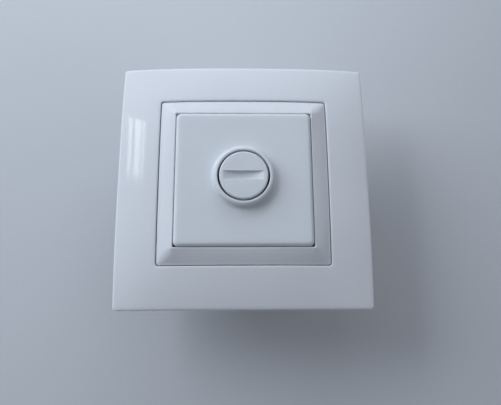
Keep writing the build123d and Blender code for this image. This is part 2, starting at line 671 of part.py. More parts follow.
def claw_spring():
    """Right-hand return spring round the claw screw."""
    return coil(CLAW_SPRING_R, CLAW_SPRING_WIRE_R, -CLAW_SPRING_END, -FIT, CLAW_SPRING_TURNS, CLAW_SCREW_X)


def pot_bushing():
    """Threaded bushing with the flange that closes the potentiometer's case."""
    body = rod(BUSHING_FLANGE_R, POT_FRONT, COVER_BACK) + rod(BUSHING_R, COVER_BACK - 0.1, BUSHING_TOP)
    body = chamfer(body.edges().group_by(Axis.Z)[-1], TIP_CHAMFER)
    return body - rod(BUSHING_BORE_R, POT_FRONT - 1, BUSHING_TOP + 1)


def pin_places():
    """Sideways places of the potentiometer's three pins."""
    return [-PIN_PITCH, 0.0, PIN_PITCH]


def pot_case():
    """Square case round the rotor, with a fixed stop at the bottom."""
    body = rounded_square(POT_W / 2, 2.0, POT_BACK, POT_FRONT)
    body -= rod(POT_CAVITY_R, POT_BACK + POT_FLOOR_T, POT_FRONT + 1)
    body -= rod(SPINDLE_R + LOOSE, POT_BACK - 1, POT_FRONT)
    body += sector(POT_CAVITY_R + 0.2, CASE_STOP_R, CASE_STOP_HALF, -90.0, ROTOR_FOOT - 0.05, POT_FRONT)
    for x in pin_places():
        body -= block(x - PIN_W / 2 - FIT, x + PIN_W / 2 + FIT, -POT_W / 2 - 1, -POT_W / 2 + 4,
                      TRACK_TOP, TRACK_TOP + PIN_T / 2 + FIT)
    return body


def resistor_track():
    """Carbon track board on the floor of the case."""
    return tube(POT_CAVITY_R - FIT, SPINDLE_R + LOOSE, POT_BACK + POT_FLOOR_T, TRACK_TOP)


def wiper_rotor():
    """Rotor disc with its driving flat and its stop."""
    body = rod(ROTOR_R, ROTOR_FOOT, ROTOR_TOP)
    body += sector(ROTOR_STOP_R, ROTOR_R - 0.3, ROTOR_STOP_HALF, 90.0, ROTOR_FOOT, ROTOR_TOP)
    flat_y = SPINDLE_R - SPINDLE_FLAT + RUN
    bore = rod(SPINDLE_R + RUN, ROTOR_FOOT - 1, ROTOR_TOP + 1)
    bore -= block(-SPINDLE_D, SPINDLE_D, flat_y, SPINDLE_D, ROTOR_FOOT - 2, ROTOR_TOP + 2)
    return body - bore


def wiper_contact():
    """Contact finger under the rotor, just clear of the track."""
    plate_foot = ROTOR_FOOT - WIPER_T / 2
    body = block(-1.4, 1.4, SPINDLE_R + 0.6, WIPER_R + WIPER_PAD_R, plate_foot, ROTOR_FOOT)
    return body + rod(WIPER_PAD_R, TRACK_TOP + FIT, ROTOR_FOOT, 0, WIPER_R)


def pot_terminals():
    """Three bent strips from the track down to the circuit board."""
    pins = Part()
    outside = -POT_W / 2 - FIT
    for x in pin_places():
        pin = block(x - PIN_W / 2, x + PIN_W / 2, outside - PIN_T, outside, BOARD_TOP, TRACK_TOP + PIN_T / 2)
        pin += block(x - PIN_W / 2, x + PIN_W / 2, outside - PIN_T, -CASE_STOP_R, TRACK_TOP,
                     TRACK_TOP + PIN_T / 2)
        pins += pin
    return pins


def switch_case():
    """Cup behind the potentiometer that guides the plunger, on four feet."""
    body = rounded_square(SWITCH_W / 2, 1.0, SWITCH_BACK, POT_BACK)
    body -= rod(SWITCH_CAVITY_R, SWITCH_FLOOR, POT_BACK + 1)
    body -= rod(PLUNGER_STEM_R + RUN, SWITCH_BACK - 1, SWITCH_FLOOR + 1)
    for side in (-1, 1):
        body -= rod(CONTACT_R / 2 + FIT, SWITCH_BACK - 1, SWITCH_FLOOR + 1, side * CONTACT_X)
    half = SWITCH_W / 2 - SWITCH_FOOT_INSET
    for i in (-1, 1):
        for j in (-1, 1):
            body += block(i * half, i * (half - SWITCH_FOOT_W), j * half, j * (half - SWITCH_FOOT_W),
                          BOARD_TOP, SWITCH_BACK + 0.1)
    return body


def switch_plunger():
    """Thrust disc and stem that the spindle's end presses."""
    body = rod(PLUNGER_HEAD_R, PLUNGER_UNDERSIDE, PLUNGER_TOP)
    return body + rod(PLUNGER_STEM_R, STEM_END, PLUNGER_UNDERSIDE + 0.1)


def contact_bridge():
    """Bridging strip under the plunger's disc."""
    body = block(-BRIDGE_L / 2, BRIDGE_L / 2, -BRIDGE_W / 2, BRIDGE_W / 2, BRIDGE_UNDERSIDE, PLUNGER_UNDERSIDE)
    return body + rod(RETURN_SPRING_R + 0.4, BRIDGE_UNDERSIDE, PLUNGER_UNDERSIDE) - rod(
        PLUNGER_STEM_R + FIT / 2, BRIDGE_UNDERSIDE - 1, PLUNGER_UNDERSIDE + 1)


def switch_contacts():
    """Two fixed contacts with pins that reach the circuit board."""
    contacts = Part()
    top = BRIDGE_UNDERSIDE - PUSH - CONTACT_GAP
    for side in (-1, 1):
        x = side * CONTACT_X
        contacts += rod(CONTACT_R, SWITCH_FLOOR, top, x) + rod(CONTACT_R / 2, BOARD_TOP, SWITCH_FLOOR + 0.1, x)
    return contacts


def return_spring():
    """Spring that lifts the plunger and the knob."""
    return coil(RETURN_SPRING_R, RETURN_SPRING_WIRE_R, SWITCH_FLOOR + FIT / 2, BRIDGE_UNDERSIDE - FIT / 2,
                RETURN_SPRING_TURNS)


def board_sides():
    """Half widths of the board: between the claw bays, and above them."""
    narrow = BAY_FLOOR_X - HOUSING_WALL - BOARD_MARGIN
    wide = INSIDE_HALF - BOARD_MARGIN
    return narrow, wide


def board_band():
    """Lower and upper limits of the wide part of the board, between the bays and the posts."""
    return BAY_W / 2 + HOUSING_WALL + BOARD_MARGIN, POST_XY - POST_R - BOARD_MARGIN


def standoff_places():
    """Centres of the housing's standoffs under the board."""
    narrow, _ = board_sides()
    x = narrow - STANDOFF_R - 1
    upper = POST_XY - POST_R - STANDOFF_R
    return [(i * x, y) for i in (-1, 1) for y in (BOARD_LOWER_Y + STANDOFF_R + 1, upper)]


def circuit_board():
    """Circuit board, shaped round the claw bays and the corner posts."""
    narrow, wide = board_sides()
    low, high = board_band()
    top = INSIDE_HALF - BOARD_MARGIN
    between_posts = min(narrow, POST_XY - POST_R - BOARD_MARGIN)
    board = block(-between_posts, between_posts, BOARD_LOWER_Y, top, BOARD_BACK, BOARD_TOP)
    board += block(-narrow, narrow, BOARD_LOWER_Y, high, BOARD_BACK, BOARD_TOP)
    return board + block(-wide, wide, low, high, BOARD_BACK, BOARD_TOP)


def triac_places():
    """Faces of the pad and the tab, going in from the heat sink, and the foot of the triac's body."""
    sink_face = INSIDE_HALF - HEAT_SINK_GAP - HEAT_SINK_T
    return sink_face, sink_face - PAD_T, BOARD_TOP + TRIAC_LEAD_L


def tab_hole_z():
    """Height of the triac's fixing hole."""
    _, _, foot = triac_places()
    return foot + TRIAC_BODY_H + TRIAC_TAB_H / 2


def heat_sink():
    """Aluminium plate along the upper wall that cools the triac."""
    sink_face, _, _ = triac_places()
    half = HEAT_SINK_W / 2
    body = block(-half, half, sink_face, sink_face + HEAT_SINK_T, BOARD_TOP, LATCH_TIP - LOOSE)
    return body - rod_y(TRIAC_SCREW_R + FIT / 2, sink_face - 1, sink_face + 9, 0, tab_hole_z())


def triac():
    """Power switch: moulded body, metal tab and three leads."""
    _, face, foot = triac_places()
    half = TRIAC_W / 2
    body = block(-half, half, face - TRIAC_BODY_T, face, foot, foot + TRIAC_BODY_H)
    body += block(-half, half, face - TRIAC_TAB_T, face, foot + TRIAC_BODY_H - 0.1,
                  foot + TRIAC_BODY_H + TRIAC_TAB_H)
    lead = face - TRIAC_LEAD_IN
    for x in (-TRIAC_LEAD_PITCH, 0.0, TRIAC_LEAD_PITCH):
        body += block(x - TRIAC_LEAD_W / 2, x + TRIAC_LEAD_W / 2, lead - TRIAC_LEAD_T, lead,
                      BOARD_TOP, foot + FIT)
    return body - rod_y(TRIAC_SCREW_R + 2 * FIT, face - 9, face + 1, 0, tab_hole_z())


def insulating_pad():
    """Thin pad between the triac's tab and the heat sink."""
    sink_face, face, foot = triac_places()
    half = TRIAC_W / 2 + PAD_MARGIN
    body = block(-half, half, face, sink_face, foot, foot + TRIAC_BODY_H + TRIAC_TAB_H)
    return body - rod_y(TRIAC_SCREW_R + 2 * FIT, face - 1, sink_face + 1, 0, tab_hole_z())


def triac_screw():
    """Screw that holds the triac against the heat sink."""
    sink_face, face, _ = triac_places()
    head_face = face - TRIAC_TAB_T
    head = rod_y(TRIAC_SCREW_HEAD_R, head_face - TRIAC_SCREW_HEAD_H, head_face, 0, tab_hole_z())
    socket_end = head_face - TRIAC_SCREW_HEAD_H / 2
    head -= rod_y(TRIAC_SCREW_SOCKET_R, socket_end - TRIAC_SCREW_HEAD_H, socket_end, 0, tab_hole_z())
    return head + rod_y(TRIAC_SCREW_R, head_face - FIT, sink_face + HEAT_SINK_T, 0, tab_hole_z())


def choke_place():
    """Axis of the choke, beside the switch on the left."""
    x = -(SWITCH_W / 2 + 0.6 + CHOKE_COIL_R)
    z = BOARD_TOP + CHOKE_COIL_R + 0.3
    return x, z


def choke_core():
    """Ferrite rod of the interference choke."""
    x, z = choke_place()
    return rod_y(CHOKE_CORE_R, -CHOKE_CORE_L / 2 + 0.5, CHOKE_CORE_L / 2 + 0.5, x, z)


def choke_winding():
    """Copper winding on the ferrite rod, with its two ends."""
    x, z = choke_place()
    low = -CHOKE_COIL_L / 2 + 0.5
    high = CHOKE_COIL_L / 2 + 0.5
    body = rod_y(CHOKE_COIL_R, low, high, x, z)
    for y in (low + LEAD_R + 0.2, high - LEAD_R - 0.2):
        body += rod(LEAD_R, BOARD_TOP, z, x, y)
    return body - rod_y(CHOKE_CORE_R + FIT / 2, low - 1, high + 1, x, z)


def suppression_capacitor():
    """Boxed film capacitor beside the switch on the right."""
    left = SWITCH_W / 2 + 1.1
    half_l = CAPACITOR_L / 2
    body = block(left, left + CAPACITOR_T, -half_l + 0.5, half_l + 0.5, BOARD_TOP + 0.2,
                 BOARD_TOP + CAPACITOR_H)
    body = fillet(body.edges().filter_by(Axis.Z), 0.6)
    for y in (-half_l + 1.6, half_l - 0.6):
        body += rod(LEAD_R, BOARD_TOP, BOARD_TOP + 0.4, left + CAPACITOR_T / 2, y)
    return body


def timing_capacitor():
    """Small boxed capacitor at the upper left of the board."""
    low, high = board_band()
    _, wide = board_sides()
    y = (low + high) / 2
    body = block(-wide + 0.2, -wide + 0.2 + TIMING_L, y - TIMING_T / 2, y + TIMING_T / 2,
                 BOARD_TOP + 0.2, BOARD_TOP + TIMING_H)
    for x in (-wide + 1.4, -wide + TIMING_L - 1.0):
        body += rod(LEAD_R, BOARD_TOP, BOARD_TOP + 0.4, x, y)
    return body


def axial(radius, length, x, y):
    """A small axial component: a waisted body on two bent leads."""
    z = BOARD_TOP + radius + 0.1
    body = rod_x(radius * 0.86, x - length / 2, x + length / 2, y, z)
    for side in (-1, 1):
        end = x + side * length / 2
        body += rod_x(radius, end, end - side * length / 4, y, z)
        reach = end + side * 0.9
        body += rod_x(LEAD_R, end, reach + side * LEAD_R, y, z) + rod(LEAD_R, BOARD_TOP, z + LEAD_R, reach, y)
    return body


def resistors():
    """Three resistors in a row along the board's lower edge."""
    pitch = RESISTOR_L + 2.8
    y = BOARD_LOWER_Y + RESISTOR_R + 0.95
    return axial(RESISTOR_R, RESISTOR_L, -pitch, y) + axial(RESISTOR_R, RESISTOR_L, 0.0, y) + axial(
        RESISTOR_R, RESISTOR_L, pitch, y)


def diac():
    """Trigger diode at the upper right of the board."""
    low, high = board_band()
    _, wide = board_sides()
    return axial(DIAC_R, DIAC_L, wide - DIAC_L / 2 - 1.6, (low + high) / 2)


def fuse_place():
    """Axis of the fuse, between the switch and the triac."""
    _, face, _ = triac_places()
    y = face - TRIAC_BODY_T - 0.3 - FUSE_R - 0.4
    z = BOARD_TOP + FUSE_R + 0.8
    return y, z


def fuse():
    """Glass cartridge fuse with its end caps."""
    y, z = fuse_place()
    half = FUSE_L / 2
    body = rod_x(FUSE_R - 0.2, -half + 0.2, half - 0.2, y, z)
    for side in (-1, 1):
        body += rod_x(FUSE_R, side * half, side * (half - FUSE_CAP_L), y, z)
    return body


def fuse_clips():
    """Two sprung clips that hold the fuse's caps."""
    y, z = fuse_place()
    clips = Part()
    middle = FUSE_L / 2 - FUSE_CAP_L / 2
    for side in (-1, 1):
        left = side * middle - FUSE_CLIP_W / 2
        right = side * middle + FUSE_CLIP_W / 2
        clip = rod_x(FUSE_R + 0.4, left, right, y, z) - rod_x(FUSE_R + FIT / 2, left - 1, right + 1, y, z)
        clip -= block(left - 1, right + 1, y - FUSE_R, y + FUSE_R, z + FUSE_R * 0.6, z + 9)
        clips += clip + block(left, right, y - 1, y + 1, BOARD_TOP, z - FUSE_R - FIT)
    return clips


def cage_middle():
    """Height of the terminal screws."""
    return CAGE_FOOT + CAGE_H / 2


def terminal_block():
    """Moulded block with three pockets for the cages."""
    top = CAGE_FOOT + CAGE_H + 2
    body = block(-TERMINAL_HALF_X, TERMINAL_HALF_X, -INSIDE_HALF + FIT, TERMINAL_TOP_Y, FLOOR_Z, top)
    half = CAGE_W / 2 + FIT
    for x in POLE_X:
        body -= block(x - half, x + half, CAGE_Y - CAGE_D / 2 - FIT, CAGE_Y + CAGE_D / 2 + FIT,
                      CAGE_FOOT - FIT, top + 1)
        body -= rod(WIRE_GUIDE_R, FLOOR_Z - 1, CAGE_FOOT + 1, x, CAGE_Y)
        body -= rod_y(TERMINAL_SCREW_HEAD_R + 2 * FIT, -HOUSING_HALF, CAGE_Y, x, cage_middle())
        tail = x + TAIL_SHIFT
        body -= block(tail - TAIL_W / 2 - FIT, tail + TAIL_W / 2 + FIT, CAGE_Y, TERMINAL_TOP_Y + 1,
                      BOARD_TOP - FIT, top + 1)
    return body


def terminal_cages():
    """Three brass wire cages with a tail each to the board."""
    cages = Part()
    inner_y = CAGE_Y + CAGE_D / 2
    for x in POLE_X:
        cage = block(x - CAGE_W / 2, x + CAGE_W / 2, CAGE_Y - CAGE_D / 2, inner_y,
                     CAGE_FOOT, CAGE_FOOT + CAGE_H)
        cage -= rod(WIRE_HOLE_R, CAGE_FOOT - 1, CAGE_FOOT + CAGE_H + 1, x, CAGE_Y)
        cage -= rod_y(TERMINAL_SCREW_R + FIT / 2, CAGE_Y - CAGE_D, CAGE_Y - WIRE_HOLE_R + 0.5, x, cage_middle())
        tail = x + TAIL_SHIFT
        cages += cage + block(tail - TAIL_W / 2, tail + TAIL_W / 2, inner_y - 0.1, BOARD_LOWER_Y + 0.5,
                              BOARD_TOP, BOARD_TOP + TAIL_T)
    return cages


def terminal_screws():
    """Three clamp screws, backed off so that the wire holes are free."""
    screws = Part()
    tip = CAGE_Y - WIRE_HOLE_R - 0.25
    head_in = CAGE_Y - CAGE_D / 2 - 0.3
    head_out = head_in - TERMINAL_SCREW_HEAD_H
    for x in POLE_X:
        head = rod_y(TERMINAL_SCREW_HEAD_R, head_out, head_in, x, cage_middle())
        reach = TERMINAL_SCREW_HEAD_R + 1
        head -= block(x - reach, x + reach, head_out - 1, head_out + TERMINAL_SLOT_DEPTH,
                      cage_middle() - DRIVE_SLOT_W / 2, cage_middle() + DRIVE_SLOT_W / 2)
        screws += head + rod_y(TERMINAL_SCREW_R, head_in - 0.1, tip, x, cage_middle())
    return screws


PIECES = {
    "cover_frame": cover_frame,
    "bezel": bezel,
    "cover_plate": cover_plate,
    "knob": knob,
    "knob_clip": knob_clip,
    "spindle": spindle,
    "bushing_nut": bushing_nut,
    "lock_washer": lock_washer,
    "support_plate": support_plate,
    "housing_cover": housing_cover,
    "housing": housing,
    "housing_screws": housing_screws,
    "claw_right": claw,
    "claw_left": lambda: mirrored(claw()),
    "claw_screw_right": claw_screw,
    "claw_screw_left": lambda: Pos(-2 * CLAW_SCREW_X, 0, 0) * claw_screw(),
    "claw_spring_right": claw_spring,
    "claw_spring_left": lambda: Pos(-2 * CLAW_SCREW_X, 0, 0) * claw_spring(),
    "claw_pins": claw_pins,
    "pot_bushing": pot_bushing,
    "pot_case": pot_case,
    "resistor_track": resistor_track,
    "wiper_rotor": wiper_rotor,
    "wiper_contact": wiper_contact,
    "pot_terminals": pot_terminals,
    "switch_case": switch_case,
    "switch_plunger": switch_plunger,
    "contact_bridge": contact_bridge,
    "switch_contacts": switch_contacts,
    "return_spring": return_spring,
    "circuit_board": circuit_board,
    "heat_sink": heat_sink,
    "triac": triac,
    "insulating_pad": insulating_pad,
    "triac_screw": triac_screw,
    "choke_core": choke_core,
    "choke_winding": choke_winding,
    "suppression_capacitor": suppression_capacitor,
    "timing_capacitor": timing_capacitor,
    "diac": diac,
    "resistors": resistors,
    "fuse": fuse,
    "fuse_clips": fuse_clips,
    "terminal_block": terminal_block,
    "terminal_cages": terminal_cages,
    "terminal_screws": terminal_screws,
}

AS_MOUNTED = Rot(90, 0, 0)  # x stays, y becomes Z, and the wall's outward normal becomes -Y

os.makedirs("parts", exist_ok=True)
for name, make in PIECES.items():
    export_step(AS_MOUNTED * make(), f"parts/{name}.step")
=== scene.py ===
"""Looks of a rotary wall dimmer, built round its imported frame."""

import json
import logging
import math
from dataclasses import dataclass
from enum import Enum
from typing import Callable, Iterable, Sequence

import bmesh
import bpy
from mathutils import Matrix, Vector


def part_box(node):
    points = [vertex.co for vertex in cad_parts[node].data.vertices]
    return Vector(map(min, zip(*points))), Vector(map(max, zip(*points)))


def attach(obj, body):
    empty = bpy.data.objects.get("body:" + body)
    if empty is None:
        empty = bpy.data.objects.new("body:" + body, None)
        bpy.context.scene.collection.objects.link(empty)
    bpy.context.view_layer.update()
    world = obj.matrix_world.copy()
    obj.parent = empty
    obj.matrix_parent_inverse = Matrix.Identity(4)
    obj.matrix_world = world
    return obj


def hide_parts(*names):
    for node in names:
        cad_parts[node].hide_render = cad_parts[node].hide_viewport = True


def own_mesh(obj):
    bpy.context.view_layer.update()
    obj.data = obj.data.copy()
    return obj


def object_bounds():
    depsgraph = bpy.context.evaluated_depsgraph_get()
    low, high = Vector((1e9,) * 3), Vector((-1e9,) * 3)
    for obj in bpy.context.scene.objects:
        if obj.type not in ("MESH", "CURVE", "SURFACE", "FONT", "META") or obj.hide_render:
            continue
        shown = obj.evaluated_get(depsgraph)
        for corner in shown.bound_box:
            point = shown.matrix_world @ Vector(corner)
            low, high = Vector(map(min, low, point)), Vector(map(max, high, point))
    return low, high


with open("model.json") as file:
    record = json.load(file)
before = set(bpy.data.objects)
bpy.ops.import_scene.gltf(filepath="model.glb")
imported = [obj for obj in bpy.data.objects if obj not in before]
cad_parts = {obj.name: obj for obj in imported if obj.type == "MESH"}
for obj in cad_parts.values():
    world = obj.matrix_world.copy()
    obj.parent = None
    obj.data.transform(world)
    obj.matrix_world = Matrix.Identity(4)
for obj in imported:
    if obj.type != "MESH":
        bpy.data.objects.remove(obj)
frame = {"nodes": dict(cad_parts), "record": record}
CAD_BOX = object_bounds()

log = logging.getLogger("dimmer")

MM = 0.001
# Turns plate coordinates (right, up, out of the wall) to the row's frame.
OUT_OF_WALL = Matrix.Rotation(math.radians(90), 4, "X")

Point = tuple[float, float, float]
Colour = tuple[float, float, float]

LINT: Colour = (0.42, 0.41, 0.39)
PLASTIC_IOR = 1.5
GLASS_IOR = 1.5


# ---- node helpers


class Graph:
    """A node tree with short calls that add and join nodes."""

    def __init__(self, tree: bpy.types.NodeTree) -> None:
        """Wraps an existing tree."""
        self.tree = tree

    def add(self, kind: str, inputs: dict | None = None, **settings) -> bpy.types.Node:
        """Adds a node.

        Args:
            kind: The node's type name.
            inputs: Values or output sockets for its inputs, by name or index.
            settings: Properties to set on the node itself.

        Returns:
            The new node.
        """
        node = self.tree.nodes.new(kind)
        for key, value in settings.items():
            setattr(node, key, value)
        for key, value in (inputs or {}).items():
            self.feed(node.inputs[key], value)
        return node

    def feed(self, socket: bpy.types.NodeSocket, value: object) -> None:
        """Links an output to a socket, or sets the socket's value."""
        if isinstance(value, bpy.types.NodeSocket):
            self.tree.links.new(value, socket)
        else:
            socket.default_value = value

    def math(self, operation: str, first: object, second: object = 0.0, third: object = 0.0,
             clamp: bool = False) -> bpy.types.NodeSocket:
        """The result of a math node."""
        kind = "ShaderNodeMath"
        node = self.add(kind, {0: first, 1: second, 2: third}, operation=operation, use_clamp=clamp)
        return node.outputs[0]

    def times(self, first: object, second: object, clamp: bool = False) -> bpy.types.NodeSocket:
        """The product of two numbers."""
        return self.math("MULTIPLY", first, second, clamp=clamp)

    def dot(self, first: object, second: object) -> bpy.types.NodeSocket:
        """The dot product of two vectors."""
        node = self.add("ShaderNodeVectorMath", {0: first, 1: second}, operation="DOT_PRODUCT")
        return node.outputs["Value"]

    def ramp(self, value: object, low: float, high: float, start: float = 0.0,
             end: float = 1.0) -> bpy.types.NodeSocket:
        """A value moved smoothly from one range to another, and held at its ends."""
        node = self.add("ShaderNodeMapRange", {"Value": value, "From Min": low, "From Max": high,
                                               "To Min": start, "To Max": end},
                        interpolation_type="SMOOTHSTEP")
        return node.outputs["Result"]

    def blend(self, share: object, first: object, second: object) -> bpy.types.NodeSocket:
        """A mix of two colours."""
        node = self.add("ShaderNodeMix", data_type="RGBA")
        colour_inputs = [s for s in node.inputs if s.type == "RGBA"]
        self.feed(node.inputs["Factor"], share)
        self.feed(colour_inputs[0], first)
        self.feed(colour_inputs[1], second)
        return next(s for s in node.outputs if s.type == "RGBA")

    def place(self) -> bpy.types.NodeSocket:
        """The shaded point in its object's own coordinates."""
        return self.add("ShaderNodeTexCoord").outputs["Object"]

    def noise(self, place: object, scale: object, detail: float = 2.0) -> bpy.types.NodeSocket:
        """Soft noise at a place."""
        node = self.add("ShaderNodeTexNoise", {"Vector": place, "Scale": scale, "Detail": detail})
        return node.outputs[0]

    def cells(self, place: object, scale: object) -> bpy.types.Node:
        """A node of random cells round a place."""
        return self.add("ShaderNodeTexVoronoi", {"Vector": place, "Scale": scale})

    def end(self, outputs: dict) -> bpy.types.NodeTree:
        """Feeds the tree's outputs, and returns the tree."""
        self.add("NodeGroupOutput", outputs)
        return self.tree


def rgba(colour: Colour) -> tuple[float, float, float, float]:
    """A colour with full alpha."""
    return (*colour, 1.0)


class Socket(Enum):
    """Socket types that the shared trees use."""

    NUMBER = "NodeSocketFloat"
    COUNT = "NodeSocketInt"
    VECTOR = "NodeSocketVector"
    MATERIAL = "NodeSocketMaterial"
    OBJECT = "NodeSocketObject"
    GEOMETRY = "NodeSocketGeometry"

    @classmethod
    def of(cls, value: object) -> "Socket":
        """The socket type that holds a value."""
        if isinstance(value, tuple):
            return cls.VECTOR
        return cls.COUNT if isinstance(value, int) else cls.NUMBER


def new_tree(name: str, kind: str, inputs: dict[str, object],
             outputs: dict[str, Socket]) -> tuple[Graph, bpy.types.NodeOutputs]:
    """Makes an empty node tree with named inputs and outputs.

    Args:
        name: The tree's name.
        kind: The tree's type name.
        inputs: Default of each input, or its socket type where it has none.
        outputs: Socket type of each output.

    Returns:
        The tree's graph, and the sockets that give its inputs.
    """
    tree = bpy.data.node_groups.new(name, kind)
    for label, default in inputs.items():
        known = isinstance(default, Socket)
        socket_type = default.value if known else Socket.of(default).value
        socket = tree.interface.new_socket(name=label, in_out="INPUT", socket_type=socket_type)
        if not known:
            socket.default_value = default
    for label, output in outputs.items():
        tree.interface.new_socket(name=label, in_out="OUTPUT", socket_type=output.value)
    graph = Graph(tree)
    return graph, graph.add("NodeGroupInput").outputs


def shader_group(name: str, inputs: dict[str, object],
                 *outputs: str) -> tuple[Graph, bpy.types.NodeOutputs]:
    """Makes an empty shader group whose outputs are numbers."""
    return new_tree(name, "ShaderNodeTree", inputs, dict.fromkeys(outputs, Socket.NUMBER))


def edge_wear_group() -> bpy.types.NodeTree:
    """Group that finds edges and breaks them up, as where a finish is rubbed."""
    graph, given = shader_group("edge_wear", {"Reach": 0.0004, "Breakup": 900.0, "Amount": 1.0}, "Mask")
    rounded = graph.add("ShaderNodeBevel", {"Radius": given["Reach"]}, samples=4)
    flat = graph.add("ShaderNodeNewGeometry")
    edge = graph.ramp(graph.dot(rounded.outputs[0], flat.outputs["Normal"]), 0.995, 0.80)
    patch = graph.ramp(graph.noise(graph.place(), given["Breakup"], 3.0), 0.38, 0.62)
    worn = graph.times(edge, patch)
    return graph.end({"Mask": graph.times(worn, given["Amount"], clamp=True)})


def mould_grain_group() -> bpy.types.NodeTree:
    """Group for moulded plastic: a fine spark-eroded grain over slow flow waves."""
    graph, given = shader_group(
        "mould_grain", {"Grain Scale": 5200.0, "Grain Share": 0.5, "Wave Scale": 60.0}, "Height", "Tone")
    place = graph.place()
    grain = graph.noise(place, given["Grain Scale"])
    pits = graph.cells(place, given["Grain Scale"]).outputs["Distance"]
    wave = graph.noise(place, given["Wave Scale"], 1.0)
    fine = graph.times(graph.math("ADD", grain, pits), 0.5)
    mixed = graph.add("ShaderNodeMix", {"Factor": given["Grain Share"], "A": wave, "B": fine},
                      data_type="FLOAT")
    return graph.end({"Height": mixed.outputs[0], "Tone": graph.ramp(wave, 0.3, 0.7)})


def dust_group() -> bpy.types.NodeTree:
    """Group for loose dust: sparse specks and lint, thicker in faint patches."""
    graph, given = shader_group("dust", {"Scale": 420.0, "Amount": 0.3}, "Mask")
    place = graph.place()
    cells = graph.cells(place, given["Scale"])
    speck = graph.ramp(cells.outputs["Distance"], 0.10, 0.04)
    chosen = graph.add("ShaderNodeSeparateColor", {"Color": cells.outputs["Color"]})
    rare = graph.math("GREATER_THAN", chosen.outputs[0], 0.86)
    thick = graph.ramp(graph.noise(place, 45.0), 0.45, 0.7)
    specks = graph.times(graph.times(speck, rare), thick)
    return graph.end({"Mask": graph.times(specks, given["Amount"], clamp=True)})


def hairline_group() -> bpy.types.NodeTree:
    """Group for hairlines: noise drawn out along one axis, as rolling and brushing leave."""
    graph, given = shader_group(
        "hairlines", {"Stretch": (60.0, 2200.0, 2200.0), "Share": 1.0}, "Height", "Tone")
    place = graph.place()
    drawn = graph.add("ShaderNodeMapping", {"Vector": place, "Scale": given["Stretch"]})
    lines = graph.ramp(graph.noise(drawn.outputs[0], 1.0, 4.0), 0.3, 0.7)
    patch = graph.ramp(graph.noise(place, 160.0), 0.3, 0.65)
    tone = graph.times(lines, given["Share"])
    return graph.end({"Height": tone, "Tone": graph.times(tone, patch)})


@dataclass(frozen=True)
class SharedEffects:
    """The shader groups that the finishes share."""

    wear: bpy.types.NodeTree
    grain: bpy.types.NodeTree
    dust: bpy.types.NodeTree
    hairlines: bpy.types.NodeTree

    @classmethod
    def build(cls) -> "SharedEffects":
        """Builds each group once."""
        return cls(edge_wear_group(), mould_grain_group(), dust_group(), hairline_group())


def place_group(graph: Graph, tree: bpy.types.NodeTree, **inputs: object) -> bpy.types.Node:
    """Places a shared group in a material; underscores in input names stand for spaces."""
    node = graph.add("ShaderNodeGroup", node_tree=tree)
    for key, value in inputs.items():
        graph.feed(node.inputs[key.replace("_", " ")], value)
    return node


# ---- finishes


def new_material(name: str) -> tuple[bpy.types.Material, Graph, bpy.types.Node]:
    """Makes a material with one Principled shader.

    Args:
        name: The material's name.

    Returns:
        The material, its graph and the shader node.
    """
    material = bpy.data.materials.new(name)
    material.use_nodes = True
    material.node_tree.nodes.clear()
    graph = Graph(material.node_tree)
    shader = graph.add("ShaderNodeBsdfPrincipled")
    graph.add("ShaderNodeOutputMaterial", {"Surface": shader.outputs[0]})
    return material, graph, shader


def bump(graph: Graph, shader: bpy.types.Node, height: object, depth: float, strength: float = 1.0) -> None:
    """Feeds a height through a Bump node to the shader's normal."""
    node = graph.add("ShaderNodeBump", {"Height": height, "Distance": depth, "Strength": strength})
    graph.feed(shader.inputs["Normal"], node.outputs[0])


@dataclass(frozen=True)
class MouldedPlastic:
    """A moulded thermoplastic, polished or spark-eroded."""

    name: str
    colour: Colour
    shade: Colour
    roughness: float
    grain_share: float
    depth: float = 0.00002
    grain_scale: float = 5200.0
    wave_scale: float = 60.0
    coat: float = 0.0
    wear: float = 0.25
    dust: float = 0.3
    glow: float = 0.0
    glow_colours: Point = (1.0, 0.95, 0.9)
    glow_reach: float = 0.0012
    coat_roughness: float = 0.04

    def material(self, effects: SharedEffects) -> bpy.types.Material:
        """Builds the material; glow is the share of light that passes through the plastic."""
        made, graph, shader = new_material(self.name)
        grain = place_group(graph, effects.grain, Grain_Scale=self.grain_scale,
                            Grain_Share=self.grain_share, Wave_Scale=self.wave_scale)
        worn = place_group(graph, effects.wear, Amount=self.wear).outputs["Mask"]
        dusty = place_group(graph, effects.dust, Amount=self.dust).outputs["Mask"]
        base = graph.blend(grain.outputs["Tone"], rgba(self.shade), rgba(self.colour))
        rubbed = tuple(min(1.0, c * 1.06 + 0.01) for c in self.colour)
        base = graph.blend(worn, base, rgba(rubbed))
        base = graph.blend(dusty, base, rgba(LINT))
        graph.feed(shader.inputs["Base Color"], base)
        rough = graph.ramp(grain.outputs["Tone"], 0.0, 1.0, self.roughness * 1.12, self.roughness * 0.9)
        rough = graph.math("ADD", rough, graph.times(dusty, 0.5))
        rough = graph.math("SUBTRACT", rough, graph.times(worn, self.roughness * 0.3), clamp=True)
        graph.feed(shader.inputs["Roughness"], rough)
        shader.inputs["Coat Weight"].default_value = self.coat
        shader.inputs["Coat Roughness"].default_value = self.coat_roughness
        shader.inputs["Subsurface Weight"].default_value = self.glow
        shader.inputs["Subsurface Radius"].default_value = self.glow_colours
        shader.inputs["Subsurface Scale"].default_value = self.glow_reach
        shader.inputs["IOR"].default_value = PLASTIC_IOR
        bump(graph, shader, grain.outputs["Height"], self.depth)
        return made


